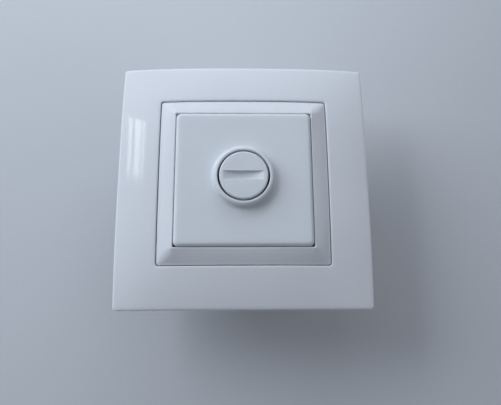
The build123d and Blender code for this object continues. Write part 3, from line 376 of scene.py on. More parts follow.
@dataclass(frozen=True)
class PlatedMetal:
    """A rolled, plated or turned metal with hairlines and rubbed edges."""

    name: str
    colour: Colour
    shade: Colour
    roughness: float
    stretch: Point = (60.0, 2200.0, 2200.0)
    depth: float = 0.000006
    wear: float = 0.6
    dust: float = 0.25

    def material(self, effects: SharedEffects) -> bpy.types.Material:
        """Builds the material."""
        made, graph, shader = new_material(self.name)
        lines = place_group(graph, effects.hairlines, Stretch=self.stretch)
        worn = place_group(graph, effects.wear, Amount=self.wear, Reach=0.0003).outputs["Mask"]
        dusty = place_group(graph, effects.dust, Amount=self.dust).outputs["Mask"]
        base = graph.blend(lines.outputs["Tone"], rgba(self.shade), rgba(self.colour))
        rubbed = tuple(min(1.0, c * 1.18 + 0.03) for c in self.colour)
        base = graph.blend(worn, base, rgba(rubbed))
        base = graph.blend(dusty, base, rgba(LINT))
        graph.feed(shader.inputs["Base Color"], base)
        graph.feed(shader.inputs["Metallic"], graph.math("SUBTRACT", 1.0, dusty, clamp=True))
        rough = graph.ramp(lines.outputs["Height"], 0.0, 1.0, self.roughness * 0.8, self.roughness * 1.25)
        rough = graph.math("SUBTRACT", rough, graph.times(worn, self.roughness * 0.35))
        rough = graph.math("ADD", rough, graph.times(dusty, 0.4), clamp=True)
        graph.feed(shader.inputs["Roughness"], rough)
        bump(graph, shader, lines.outputs["Height"], self.depth)
        return made


@dataclass(frozen=True)
class Laminate:
    """Green circuit board laminate: woven glass under lacquer."""

    name: str
    colour: Colour
    weave: Colour
    roughness: float = 0.38
    threads_per_metre: float = 1400.0
    lint: Colour = (0.4, 0.4, 0.38)
    depth: float = 0.00001

    def material(self, effects: SharedEffects) -> bpy.types.Material:
        """Builds the material."""
        made, graph, shader = new_material(self.name)
        axes = graph.add("ShaderNodeSeparateXYZ", {"Vector": graph.place()})
        turn = 2 * math.pi * self.threads_per_metre
        warp = graph.math("SINE", graph.times(axes.outputs["X"], turn))
        weft = graph.math("SINE", graph.times(axes.outputs["Z"], turn))
        cloth = graph.times(warp, weft)
        share = graph.ramp(cloth, -1.0, 1.0, 0.0, 0.5)
        base = graph.blend(share, rgba(self.colour), rgba(self.weave))
        dusty = place_group(graph, effects.dust, Amount=0.3).outputs["Mask"]
        graph.feed(shader.inputs["Base Color"], graph.blend(dusty, base, rgba(self.lint)))
        graph.feed(shader.inputs["Roughness"],
                   graph.ramp(cloth, -1.0, 1.0, self.roughness * 0.9, self.roughness * 1.15))
        bump(graph, shader, cloth, self.depth, 0.5)
        return made


@dataclass(frozen=True)
class BandedBody:
    """Lacquered ceramic body with generic colour bands across its axis."""

    name: str
    colour: Colour
    band: Colour
    pitch: float = 0.0013
    roughness: float = 0.3
    depth: float = 0.00001

    def material(self, effects: SharedEffects) -> bpy.types.Material:
        """Builds the material."""
        made, graph, shader = new_material(self.name)
        axes = graph.add("ShaderNodeSeparateXYZ", {"Vector": graph.place()})
        phase = graph.math("PINGPONG", axes.outputs["X"], self.pitch / 2)
        inside = graph.ramp(phase, self.pitch * 0.30, self.pitch * 0.34)
        grain = place_group(graph, effects.grain, Grain_Share=0.2, Wave_Scale=300.0)
        shade = tuple(c * 0.9 for c in self.colour)
        base = graph.blend(grain.outputs["Tone"], rgba(shade), rgba(self.colour))
        graph.feed(shader.inputs["Base Color"], graph.blend(inside, base, rgba(self.band)))
        graph.feed(shader.inputs["Roughness"],
                   graph.ramp(grain.outputs["Height"], 0.3, 0.7, self.roughness, self.roughness * 1.3))
        bump(graph, shader, grain.outputs["Height"], self.depth)
        return made


@dataclass(frozen=True)
class ClearTube:
    """Clear glass with faint smears."""

    name: str
    tint: Colour
    roughness: float = 0.04
    clearness: float = 0.85
    depth: float = 0.000004

    def material(self, effects: SharedEffects) -> bpy.types.Material:
        """Builds the material."""
        made, graph, shader = new_material(self.name)
        grain = place_group(graph, effects.grain, Grain_Share=0.1, Wave_Scale=220.0)
        smeared = tuple(c * 0.94 for c in self.tint)
        base = graph.blend(grain.outputs["Tone"], rgba(self.tint), rgba(smeared))
        graph.feed(shader.inputs["Base Color"], base)
        graph.feed(shader.inputs["Roughness"],
                   graph.ramp(grain.outputs["Tone"], 0.0, 1.0, self.roughness, self.roughness * 3))
        shader.inputs["Transmission Weight"].default_value = self.clearness
        shader.inputs["IOR"].default_value = GLASS_IOR
        bump(graph, shader, grain.outputs["Height"], self.depth)
        return made


Finish = MouldedPlastic | PlatedMetal | Laminate | BandedBody | ClearTube

COVER_WHITE: Colour = (0.80, 0.82, 0.86)
COVER_SHADE: Colour = (0.785, 0.805, 0.85)
PLATE_WHITE: Colour = (0.77, 0.80, 0.845)
PLATE_SHADE: Colour = (0.755, 0.785, 0.83)

FINISHES: tuple[Finish, ...] = (
    MouldedPlastic("frame_plastic", COVER_WHITE, COVER_SHADE, 0.08, 0.04, wave_scale=45.0, coat=0.2,
                   wear=0.15, dust=0.22, glow=0.4),
    MouldedPlastic("bezel_plastic", COVER_WHITE, COVER_SHADE, 0.18, 0.06, depth=0.00003, coat=0.2,
                   wear=0.15, dust=0.22, glow=0.4),
    MouldedPlastic("plate_plastic", PLATE_WHITE, PLATE_SHADE, 0.24, 0.75, depth=0.000028,
                   grain_scale=6500.0, wear=0.2, dust=0.25, glow=0.4),
    MouldedPlastic("knob_plastic", PLATE_WHITE, PLATE_SHADE, 0.26, 0.7, depth=0.000022,
                   grain_scale=6500.0, wear=0.3, dust=0.2, glow=0.4),
    MouldedPlastic("housing_plastic", (0.62, 0.62, 0.59), (0.58, 0.58, 0.55), 0.5, 0.8, depth=0.00005,
                   grain_scale=3200.0, wear=0.5, dust=0.5),
    MouldedPlastic("dark_plastic", (0.035, 0.035, 0.038), (0.025, 0.025, 0.028), 0.42, 0.7,
                   depth=0.00004, wear=0.6),
    MouldedPlastic("terminal_plastic", (0.11, 0.12, 0.13), (0.09, 0.10, 0.11), 0.45, 0.7,
                   depth=0.00004, wear=0.5),
    MouldedPlastic("carbon_track", (0.05, 0.045, 0.045), (0.035, 0.032, 0.032), 0.6, 0.9),
    MouldedPlastic("mica_pad", (0.46, 0.48, 0.50), (0.40, 0.42, 0.44), 0.7, 0.5),
    MouldedPlastic("ferrite", (0.06, 0.06, 0.065), (0.045, 0.045, 0.05), 0.55, 0.9, depth=0.00006,
                   grain_scale=2600.0, wear=0.9),
    MouldedPlastic("capacitor_case", (0.62, 0.50, 0.12), (0.56, 0.44, 0.10), 0.3, 0.3),
    PlatedMetal("zinc_steel", (0.66, 0.67, 0.66), (0.50, 0.52, 0.53), 0.34),
    PlatedMetal("screw_steel", (0.72, 0.72, 0.69), (0.58, 0.58, 0.56), 0.26, (1500.0, 1500.0, 90.0)),
    PlatedMetal("spring_steel", (0.60, 0.61, 0.63), (0.46, 0.47, 0.50), 0.22, (900.0, 900.0, 900.0)),
    PlatedMetal("brass", (0.80, 0.60, 0.26), (0.66, 0.46, 0.18), 0.28),
    PlatedMetal("aluminium", (0.80, 0.81, 0.82), (0.68, 0.69, 0.71), 0.36),
    PlatedMetal("copper_wire", (0.72, 0.30, 0.12), (0.55, 0.20, 0.07), 0.24, (700.0, 700.0, 700.0)),
    Laminate("board_laminate", (0.03, 0.16, 0.06), (0.06, 0.24, 0.10)),
    BandedBody("resistor_body", (0.30, 0.45, 0.52), (0.28, 0.10, 0.05)),
    ClearTube("glass_tube", (0.90, 0.94, 0.95)),
)


class Palette:
    """Builds each finish once, and remembers which slot a CAD node has."""

    def __init__(self, record: dict) -> None:
        """Builds the shared effects and every finish."""
        self.effects = SharedEffects.build()
        self.materials = {finish.name: finish.material(self.effects) for finish in FINISHES}
        self.slots = {part["node"]: part["material_slot"] for part in record["subparts"]}
        self.bodies = {node: body for body, nodes in record["behaviour"]["bodies"].items() for node in nodes}

    def dress(self, obj: bpy.types.Object, slot: str) -> None:
        """Gives an object one finish."""
        obj.data.materials.clear()
        obj.data.materials.append(self.materials[slot])
        for polygon in obj.data.polygons:
            polygon.material_index = 0

    def stand_in(self, obj: bpy.types.Object, *nodes: str) -> None:
        """Lets an object stand for CAD nodes, with their finish and body."""
        slot = self.slots[nodes[0]]
        self.dress(obj, slot)
        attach(obj, self.bodies[nodes[0]])
        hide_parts(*nodes)
        log.info("%s stands for %s, %d faces", obj.name, ", ".join(nodes), len(obj.data.polygons))


# ---- mesh helpers

DOUBLED = 0.002 * MM
IN_PLANE = math.radians(0.6)
SIDE_STEPS = 36
CORNER_STEPS = 8


def add_object(name: str, data: bpy.types.ID) -> bpy.types.Object:
    """Links a mesh, light or camera to the scene as an object at the origin."""
    obj = bpy.data.objects.new(name, data)
    bpy.context.scene.collection.objects.link(obj)
    return obj


def new_mesh(name: str, points: Sequence[Point], faces: Sequence[Sequence[int]]) -> bpy.types.Mesh:
    """Makes a mesh from points in millimetres and the faces between them."""
    mesh = bpy.data.meshes.new(name)
    mesh.from_pydata([(x * MM, y * MM, z * MM) for x, y, z in points], [], faces)
    return mesh


def edit_mesh(mesh: bpy.types.Mesh, change: Callable[[bmesh.types.BMesh], object]) -> None:
    """Opens a mesh, lets a function change it, and writes it back."""
    work = bmesh.new()
    work.from_mesh(mesh)
    change(work)
    work.to_mesh(mesh)
    work.free()


def face_outwards(mesh: bpy.types.Mesh) -> None:
    """Turns every face of a closed mesh outwards."""
    edit_mesh(mesh, lambda work: bmesh.ops.recalc_face_normals(work, faces=work.faces))


def smooth_by_angle(mesh: bpy.types.Mesh, degrees: float = 30.0) -> None:
    """Shades a mesh smooth, except across edges sharper than an angle."""
    mesh.polygons.foreach_set("use_smooth", [True] * len(mesh.polygons))
    mesh.set_sharp_from_angle(angle=math.radians(degrees))


def evaluated_mesh(obj: bpy.types.Object) -> bpy.types.Mesh:
    """A plain mesh of what an object's modifiers make."""
    graph = bpy.context.evaluated_depsgraph_get()
    return bpy.data.meshes.new_from_object(obj.evaluated_get(graph), preserve_all_data_layers=True,
                                           depsgraph=graph)


def settle(obj: bpy.types.Object) -> None:
    """Replaces an object's mesh by what its modifiers make, and removes them."""
    mesh = evaluated_mesh(obj)
    obj.modifiers.clear()
    obj.data = mesh


class Shaping(Enum):
    """What a closed mesh does to the piece that it meets."""

    CUT = "DIFFERENCE"
    ADD = "UNION"


def shape_with(obj: bpy.types.Object, shaping: Shaping, *tools: bpy.types.Mesh) -> None:
    """Cuts closed meshes out of a piece, or adds them to it, one after another."""
    for tool in tools:
        other = add_object("shaping_tool", tool)
        step = obj.modifiers.new("shaping", "BOOLEAN")
        step.object = other
        step.operation = shaping.value
        step.solver = "EXACT"
        bpy.context.view_layer.update()
        settle(obj)
        bpy.data.objects.remove(other)


def break_edges(obj: bpy.types.Object, width: float, segments: int = 2, angle: float = 28.0) -> None:
    """Rounds every edge that is sharper than an angle.

    Args:
        obj: The piece.
        width: Width of the rounding, in metres.
        segments: Faces across the rounding.
        angle: Smallest angle that is rounded, in degrees.
    """
    edge = obj.modifiers.new("broken_edges", "BEVEL")
    edge.width = width
    edge.segments = segments
    edge.limit_method = "ANGLE"
    edge.angle_limit = math.radians(angle)
    edge.use_clamp_overlap = True
    settle(obj)


def join_mesh(obj: bpy.types.Object, other: bpy.types.Mesh) -> None:
    """Adds another closed mesh to a piece as it is."""
    edit_mesh(obj.data, lambda work: work.from_mesh(other))


def even_flats(obj: bpy.types.Object) -> None:
    """Shades large faces flat up to the rounded edges beside them."""
    flats = obj.modifiers.new("even_flats", "WEIGHTED_NORMAL")
    flats.keep_sharp = True
    settle(obj)


def box_mesh(low: Point, high: Point) -> bpy.types.Mesh:
    """A closed box between two corners, in millimetres."""
    middle = (Vector(low) + Vector(high)) / 2 * MM
    size = (Vector(high) - Vector(low)) * MM
    place = Matrix.Translation(middle) @ Matrix.Diagonal((*size, 1.0))
    mesh = bpy.data.meshes.new("box")
    edit_mesh(mesh, lambda work: bmesh.ops.create_cube(work, size=1.0, matrix=place))
    return mesh


def prism_mesh(outline: Sequence[tuple[float, float]], left: float, right: float) -> bpy.types.Mesh:
    """A closed prism along x with its outline in y and z, in millimetres."""
    count = len(outline)
    points = [(x, y, z) for x in (left, right) for y, z in outline]
    faces = [tuple(range(count)), tuple(range(2 * count - 1, count - 1, -1))]
    faces += [(i, (i + 1) % count, count + (i + 1) % count, count + i) for i in range(count)]
    mesh = new_mesh("prism", points, faces)
    face_outwards(mesh)
    return mesh


def lathe(name: str, profile: Sequence[tuple[float, float]], steps: int = 96) -> bpy.types.Mesh:
    """Turns a half section into a closed piece.

    Args:
        name: The mesh's name.
        profile: Radius and height in millimetres; the first and last points lie on the axis.
        steps: Faces around the axis.

    Returns:
        The closed mesh, with its faces outwards.
    """
    points = [(0.0, 0.0, profile[0][1])]
    for radius, z in profile[1:-1]:
        for step in range(steps):
            angle = 2 * math.pi * step / steps
            points.append((radius * math.cos(angle), radius * math.sin(angle), z))
    points.append((0.0, 0.0, profile[-1][1]))
    last = 1 + (len(profile) - 3) * steps
    faces = [(0, 1 + (j + 1) % steps, 1 + j) for j in range(steps)]
    faces += [(a + j, a + (j + 1) % steps, a + steps + (j + 1) % steps, a + steps + j)
              for a in range(1, last, steps) for j in range(steps)]
    faces += [(last + j, last + (j + 1) % steps, len(points) - 1) for j in range(steps)]
    mesh = new_mesh(name, points, faces)
    face_outwards(mesh)
    return mesh


def merge_flats(mesh: bpy.types.Mesh) -> None:
    """Joins doubled points, and faces that lie in one plane."""
    def merge(work: bmesh.types.BMesh) -> None:
        """Joins them in the open mesh."""
        bmesh.ops.remove_doubles(work, verts=work.verts, dist=DOUBLED)
        bmesh.ops.dissolve_limit(work, angle_limit=IN_PLANE, verts=work.verts, edges=work.edges,
                                 use_dissolve_boundaries=False)

    edit_mesh(mesh, merge)


def refined_copy(node: str, bevel: float = 0.12 * MM, angle: float = 28.0) -> bpy.types.Object:
    """Copies a CAD node with merged points, whole flat faces and softly broken edges.

    Args:
        node: The CAD node's name.
        bevel: Width of the broken edges, in metres; 0 leaves them sharp.
        angle: Edges sharper than this, in degrees, are broken.

    Returns:
        The new object, in the node's own place.
    """
    mesh = frame["nodes"][node].data.copy()
    merge_flats(mesh)
    obj = add_object(node + "_finished", mesh)
    if bevel:
        break_edges(obj, bevel, 2, angle)
    smooth_by_angle(obj.data, 40.0)
    even_flats(obj)
    return obj


@dataclass(frozen=True)
class Ring:
    """One closed loop of a lofted piece.

    A positive radius on a ring with half 0 makes a circle; otherwise the loop is a rounded square.
    follow says how much of the arched height it takes: 1 puts z relative to the arched face.
    """

    half: float
    radius: float
    z: float
    follow: float = 0.0


def ring_points(ring: Ring) -> list[Point]:
    """Points of a ring, the same number for a circle and for a rounded square."""
    quarter, flat = math.radians(90), ring.half - ring.radius
    steps = CORNER_STEPS + SIDE_STEPS
    points = []
    for side in range(4):
        turn = quarter * side
        middle_x = flat if side in (0, 3) else -flat
        middle_y = flat if side in (0, 1) else -flat
        for step in range(steps):
            if ring.half <= 0:
                angle = turn + quarter * (step - CORNER_STEPS / 2) / steps + quarter / 2
                points.append((ring.radius * math.cos(angle), ring.radius * math.sin(angle), ring.z))
            elif step <= CORNER_STEPS:
                angle = turn + quarter * step / CORNER_STEPS
                points.append((middle_x + ring.radius * math.cos(angle),
                               middle_y + ring.radius * math.sin(angle), ring.z))
            else:
                share = (step - CORNER_STEPS) / SIDE_STEPS
                edge = Matrix.Rotation(turn, 2) @ Vector((flat * (1 - 2 * share), ring.half))
                points.append((edge.x, edge.y, ring.z))
    return points


def loft(name: str, rings: Sequence[Ring]) -> bpy.types.Mesh:
    """Joins rings, and the last to the first, into one surface of quads.

    Args:
        name: The mesh's name.
        rings: The loops in order, from the outside over the front to the back.

    Returns:
        A mesh in plate coordinates, with the share of arched height in the attribute "follow".
    """
    loops = [ring_points(ring) for ring in rings]
    count = len(loops[0])
    faces = []
    for i in range(len(rings)):
        a, b = i * count, (i + 1) % len(rings) * count
        faces += [(a + j, a + (j + 1) % count, b + (j + 1) % count, b + j) for j in range(count)]
    mesh = new_mesh(name, [point for loop in loops for point in loop], faces)
    follow = [ring.follow for ring in rings for _ in range(count)]
    mesh.attributes.new("follow", "FLOAT", "POINT").data.foreach_set("value", follow)
    return mesh


# ---- geometry trees


def geometry_tree(name: str, inputs: dict[str, object]) -> tuple[Graph, bpy.types.NodeOutputs]:
    """Makes a geometry tree with a geometry, named sizes and a material for inputs."""
    ends = {"Geometry": Socket.GEOMETRY}
    return new_tree(name, "GeometryNodeTree", {**ends, **inputs, "Material": Socket.MATERIAL}, ends)


def end_tree(graph: Graph, given: bpy.types.NodeOutputs,
             geometry: bpy.types.NodeSocket) -> bpy.types.NodeTree:
    """Ends a geometry tree in Realize Instances and Set Material."""
    real = graph.add("GeometryNodeRealizeInstances", {"Geometry": geometry})
    dressed = graph.add("GeometryNodeSetMaterial", {"Geometry": real.outputs[0],
                                                    "Material": given["Material"]})
    return graph.end({"Geometry": dressed.outputs[0]})


def run_tree(obj: bpy.types.Object, tree: bpy.types.NodeTree, sizes: dict[str, object]) -> None:
    """Runs a geometry tree on an object, and keeps the result as its plain mesh.

    Args:
        obj: The object that the tree works on.
        tree: The tree.
        sizes: Values for the tree's inputs, by their shown names.
    """
    modifier = obj.modifiers.new(tree.name, "NODES")
    modifier.node_group = tree
    identifiers = {item.name: item.identifier for item in tree.interface.items_tree
                   if item.item_type == "SOCKET" and item.in_out == "INPUT"}
    for label, value in sizes.items():
        modifier[identifiers[label]] = value
    obj.update_tag()
    bpy.context.view_layer.update()
    settle(obj)


def arched_skin_tree() -> bpy.types.NodeTree:
    """Tree that lifts a flat loft to the arched face of the cover frame."""
    graph, given = geometry_tree("arched_skin", {
        "Half Width": 0.041, "Edge Height": 0.0054, "Arch": 0.0022, "Crown": 400.0, "Power": 2.8})
    place = graph.add("GeometryNodeInputPosition")
    axes = graph.add("ShaderNodeSeparateXYZ", {"Vector": place.outputs[0]})
    follow = graph.add("GeometryNodeInputNamedAttribute", {"Name": "follow"}, data_type="FLOAT")
    rises = []
    for axis in ("X", "Y"):
        share = graph.math("DIVIDE", graph.math("ABSOLUTE", axes.outputs[axis]), given["Half Width"])
        curve = graph.math("SUBTRACT", 1.0, graph.math("POWER", share, given["Power"]))
        rises.append(graph.times(curve, given["Arch"]))
    both = graph.times(graph.times(*rises), given["Crown"])
    height = graph.math("ADD", graph.math("ADD", given["Edge Height"], both), graph.math("ADD", *rises))
    lift = graph.times(height, follow.outputs["Attribute"])
    offset = graph.add("ShaderNodeCombineXYZ", {"Z": lift})
    moved = graph.add("GeometryNodeSetPosition", {"Geometry": given["Geometry"],
                                                  "Offset": offset.outputs[0]})
    return end_tree(graph, given, moved.outputs[0])


def coil_tree() -> bpy.types.NodeTree:
    """Tree that winds round wire into a helix along the plate's outward axis."""
    graph, given = geometry_tree("wire_coil", {
        "Radius": 0.002, "Wire": 0.0003, "Length": 0.01, "Turns": 6.0, "Start": (0.0, 0.0, 0.0),
        "Steps": 32, "Sides": 10})
    helix = graph.add("GeometryNodeCurveSpiral", {
        "Resolution": given["Steps"], "Rotations": given["Turns"], "Start Radius": given["Radius"],
        "End Radius": given["Radius"], "Height": given["Length"]})
    section = graph.add("GeometryNodeCurvePrimitiveCircle", {"Resolution": given["Sides"],
                                                             "Radius": given["Wire"]})
    wire = graph.add("GeometryNodeCurveToMesh", {"Curve": helix.outputs[0],
                                                 "Profile Curve": section.outputs[0], "Fill Caps": True})
    placed = graph.add("GeometryNodeTransform", {"Geometry": wire.outputs[0],
                                                 "Translation": given["Start"]})
    smooth = graph.add("GeometryNodeSetShadeSmooth", {"Geometry": placed.outputs[0]})
    return end_tree(graph, given, smooth.outputs[0])


def repeat_tree() -> bpy.types.NodeTree:
    """Tree that sets one copy of a piece at each point of the base mesh."""
    graph, given = geometry_tree("set_at_points", {"Piece": Socket.OBJECT})
    piece = graph.add("GeometryNodeObjectInfo", {"Object": given["Piece"]})
    copies = graph.add("GeometryNodeInstanceOnPoints", {"Points": given["Geometry"],
                                                        "Instance": piece.outputs["Geometry"]})
    return end_tree(graph, given, copies.outputs[0])


@dataclass(frozen=True)
class Trees:
    """The geometry trees that the sub-assemblies share."""

    arch: bpy.types.NodeTree
    coil: bpy.types.NodeTree
    repeat: bpy.types.NodeTree

    @classmethod
    def build(cls) -> "Trees":
        """Builds each tree once."""
        return cls(arched_skin_tree(), coil_tree(), repeat_tree())


def stand_up(obj: bpy.types.Object) -> None:
    """Turns a piece from plate coordinates to the row's frame."""
    obj.data.transform(OUT_OF_WALL)


# ---- front covers


def arc_steps(radius: float, steps: int) -> Iterable[tuple[float, float]]:
    """Inset and drop of the points of a quarter round, from its side to its top."""
    for step in range(steps + 1):
        angle = math.radians(90) * step / steps
        yield radius * (1 - math.cos(angle)), radius * (1 - math.sin(angle))


def arc_back(radius: float, steps: int) -> list[tuple[float, float]]:
    """The same points from the top to the side."""
    return list(arc_steps(radius, steps))[::-1]


@dataclass
class FrontCovers:
    """Cover frame, bezel and central plate, in millimetres and plate coordinates."""

    palette: Palette
    trees: Trees
    frame_half: float = 41.0
    edge_height: float = 5.4
    arch: float = 2.2
    crown: float = 0.4
    power: float = 2.8
    frame_wall: float = 1.8
    frame_skin: float = 2.0
    frame_corner: float = 1.0
    frame_round: float = 0.5
    window_half: float = 27.6
    window_corner: float = 1.0
    window_round: float = 0.4
    window_edge_corner: float = 1.35
    ledge: float = 1.0
    ledge_foot: float = 1.3
    ledge_top: float = 2.6
    claw_x: float = 26.3
    claw_room: tuple[float, float] = (3.7, 3.0)
    box_screw_y: float = 30.0
    box_screw_room: tuple[float, float] = (4.0, 4.2)
    bezel_half: float = 27.35
    bezel_corner: float = 0.8
    bezel_foot: float = 2.7
    bezel_bend: float = -2.0
    inside_corner: float = 0.6
    bezel_opening: float = 22.1
    bezel_top: float = 12.2
    bezel_drop: float = 0.3
    bezel_round: float = 0.35
    bezel_wall: float = 1.4
    bezel_skin: float = 1.6
    mitre_round: float = 1.5
    opening_round: float = 0.3
    opening_foot: float = 5.5
    lip_corner: float = 0.5
    latch_x: float = 12.0
    latch_half: float = 3.0
    latch_root: float = 6.0
    latch_in: float = 25.35
    latch_out: float = 26.55
    latch_hook: float = 27.35
    latch_catch: float = -0.45
    latch_tip: float = -2.45
    plate_half: float = 21.95
    plate_top: float = 13.1
    plate_corner: float = 1.6
    plate_round: float = 1.3
    plate_top_corner: float = 1.0
    plate_foot: float = 4.2
    plate_wall: float = 1.5
    plate_inside_corner: float = 0.8
    plate_skin: float = 1.8
    rim_top: float = 15.8
    hole: float = 8.3
    lip_round: float = 0.2
    collar: float = 9.55
    collar_round: float = 0.9
    collar_flare: float = 1.3
    cup_wall: float = 1.5
    cup_floor: float = 4.6
    cup_foot: float = 3.0
    spindle_hole: float = 5.05

    def arched(self, obj: bpy.types.Object, slot: str) -> None:
        """Lifts a loft to the arched face."""
        run_tree(obj, self.trees.arch, {
            "Half Width": self.frame_half * MM, "Edge Height": self.edge_height * MM,
            "Arch": self.arch * MM, "Crown": self.crown / MM, "Power": self.power,
            "Material": self.palette.materials[slot]})

    def cover_frame(self) -> None:
        """Builds the outer frame as one closed loft, its face lifted to the arch."""
        half, window, corner = self.frame_half, self.window_half, self.window_corner
        face, rows, back_rows = half - self.frame_round, 14, 4
        rings = [Ring(half, self.frame_corner, 0.0),
                 Ring(half, self.frame_corner, -self.edge_height / 2, 1.0)]
        rings += [Ring(half - inset, self.frame_corner + inset * 0.3, -drop, 1.0)
                  for inset, drop in arc_steps(self.frame_round, 4)]
        band = face - window - self.window_round
        rings += [Ring(face - band * step / rows, self.window_edge_corner, 0.0, 1.0)
                  for step in range(1, rows)]
        rings += [Ring(window + inset, corner + inset, -drop, 1.0)
                  for inset, drop in arc_back(self.window_round, 3)]
        rings += [Ring(window, corner, self.ledge_top),
                  Ring(window - self.ledge, corner, self.ledge_top),
                  Ring(window - self.ledge, corner, self.ledge_foot),
                  Ring(window + self.frame_wall, corner, self.ledge_foot)]
        inner, outer = window + self.frame_wall, half - self.frame_wall
        rings += [Ring(inner + (outer - inner) * step / back_rows, corner, -self.frame_skin, 1.0)
                  for step in range(back_rows + 1)]
        rings.append(Ring(outer, corner, 0.0))
        obj = add_object("cover_frame_shell", loft("cover_frame_shell", rings))
        self.arched(obj, "frame_plastic")
        self.cut_reliefs(obj)
        self.dress(obj, "cover_frame")

    def cut_reliefs(self, obj: bpy.types.Object) -> None:
        """Cuts the room for the heads of the claw and box screws out of the piece's foot."""
        face_outwards(obj.data)
        places = [(sign * self.claw_x, 0.0, *self.claw_room) for sign in (1, -1)]
        places += [(0.0, sign * self.box_screw_y, *self.box_screw_room) for sign in (1, -1)]
        for x, y, half, top in places:
            shape_with(obj, Shaping.CUT, box_mesh((x - half, y - half, -1.0), (x + half, y + half, top)))

    def dress(self, obj: bpy.types.Object, node: str) -> None:
        """Stands a finished cover up, shades it and lets it stand for its CAD node."""
        stand_up(obj)
        smooth_by_angle(obj.data, 35.0)
        self.palette.stand_in(obj, node)

    def bezel(self) -> None:
        """Builds the sloped inner frame, from its arched edge to its straight opening."""
        half, opening, corner = self.bezel_half, self.bezel_opening, self.bezel_corner
        outer, rows = half - self.bezel_round, 10
        slope = opening + self.opening_round - outer
        rings = [Ring(half, corner, self.bezel_foot), Ring(half, corner, self.bezel_bend, 1.0)]
        rings += [Ring(half - inset, corner, -self.bezel_drop - drop, 1.0)
                  for inset, drop in arc_steps(self.bezel_round, 4)]
        for step in range(1, rows + 1):
            share = step / rows
            mitre = corner * (1 - share) + self.opening_round * share
            mitre += self.mitre_round * math.sin(math.pi * share)
            rings.append(Ring(outer + slope * share, mitre,
                              -self.bezel_drop * (1 - share) + self.bezel_top * share, 1.0 - share))
        rings += [Ring(opening + inset, self.opening_round, self.bezel_top - drop)
                  for inset, drop in arc_back(self.opening_round, 3)[1:]]
        inner, lip = half - self.bezel_wall, opening + self.bezel_wall
        rings += [Ring(opening, self.opening_round, self.opening_foot),
                  Ring(lip, self.lip_corner, self.opening_foot),
                  Ring(lip, self.lip_corner, self.bezel_top - self.bezel_skin),
                  Ring(inner, self.inside_corner, -self.bezel_drop - self.bezel_skin, 1.0),
                  Ring(inner, self.inside_corner, self.bezel_foot)]
        obj = add_object("bezel_ring", loft("bezel_ring", rings))
        self.arched(obj, "bezel_plastic")
        self.cut_reliefs(obj)
        shape_with(obj, Shaping.ADD, *self.latches())
        self.dress(obj, "bezel")

    def latches(self) -> list[bpy.types.Mesh]:
        """The four hooked legs that catch behind the support plate."""
        inner, outer, root = self.latch_in, self.latch_out, self.latch_root
        outline = [(inner, root), (inner, self.latch_tip), (outer, self.latch_tip),
                   (self.latch_hook, self.latch_catch), (outer, self.latch_catch), (outer, root)]
        turned = [(-y, z) for y, z in outline]
        return [prism_mesh(shape, x - self.latch_half, x + self.latch_half)
                for shape in (outline, turned) for x in (-self.latch_x, self.latch_x)]

    def cover_plate(self) -> None:
        """Builds the central plate with its soft edge, raised collar and deep cup."""
        half, top, hole = self.plate_half, self.plate_top, self.hole
        square, rows, flare_rows = half - self.plate_round, 6, 6
        flare = self.collar + self.collar_flare
        rings = [Ring(half, self.plate_corner, self.plate_foot)]
        rings += [Ring(half - inset, max(0.4, self.plate_corner - inset * 0.5), top - drop)
                  for inset, drop in arc_steps(self.plate_round, 8)]
        for step in range(1, rows):
            share = step / rows
            corner = self.plate_top_corner + (flare - self.plate_top_corner) * share ** 2
            rings.append(Ring(square * (1 - share) + flare * share, corner, top))
        for step in range(flare_rows + 1):
            angle = math.radians(90) * step / flare_rows
            rings.append(Ring(0, flare - self.collar_flare * math.sin(angle),
                              top + self.collar_flare * (1 - math.cos(angle))))
        rings += [Ring(0, self.collar - inset, self.rim_top - drop)
                  for inset, drop in arc_steps(self.collar_round, 6)]
        rings += [Ring(0, hole + inset, self.rim_top - drop) for inset, drop in arc_back(self.lip_round, 3)]
        under = top - self.plate_skin
        rings += [Ring(0, hole, self.cup_floor), Ring(0, self.spindle_hole, self.cup_floor),
                  Ring(0, self.spindle_hole, self.cup_foot), Ring(0, hole + self.cup_wall, self.cup_foot),
                  Ring(0, hole + self.cup_wall, under),
                  Ring(half - self.plate_wall, self.plate_inside_corner, under),
                  Ring(half - self.plate_wall, self.plate_inside_corner, self.plate_foot)]
        obj = add_object("cover_plate_cap", loft("cover_plate_cap", rings))
        face_outwards(obj.data)
        self.dress(obj, "cover_plate")

    def build(self) -> None:
        """Builds the three covers."""
        self.cover_frame()
        self.bezel()
        self.cover_plate()


# ---- knob


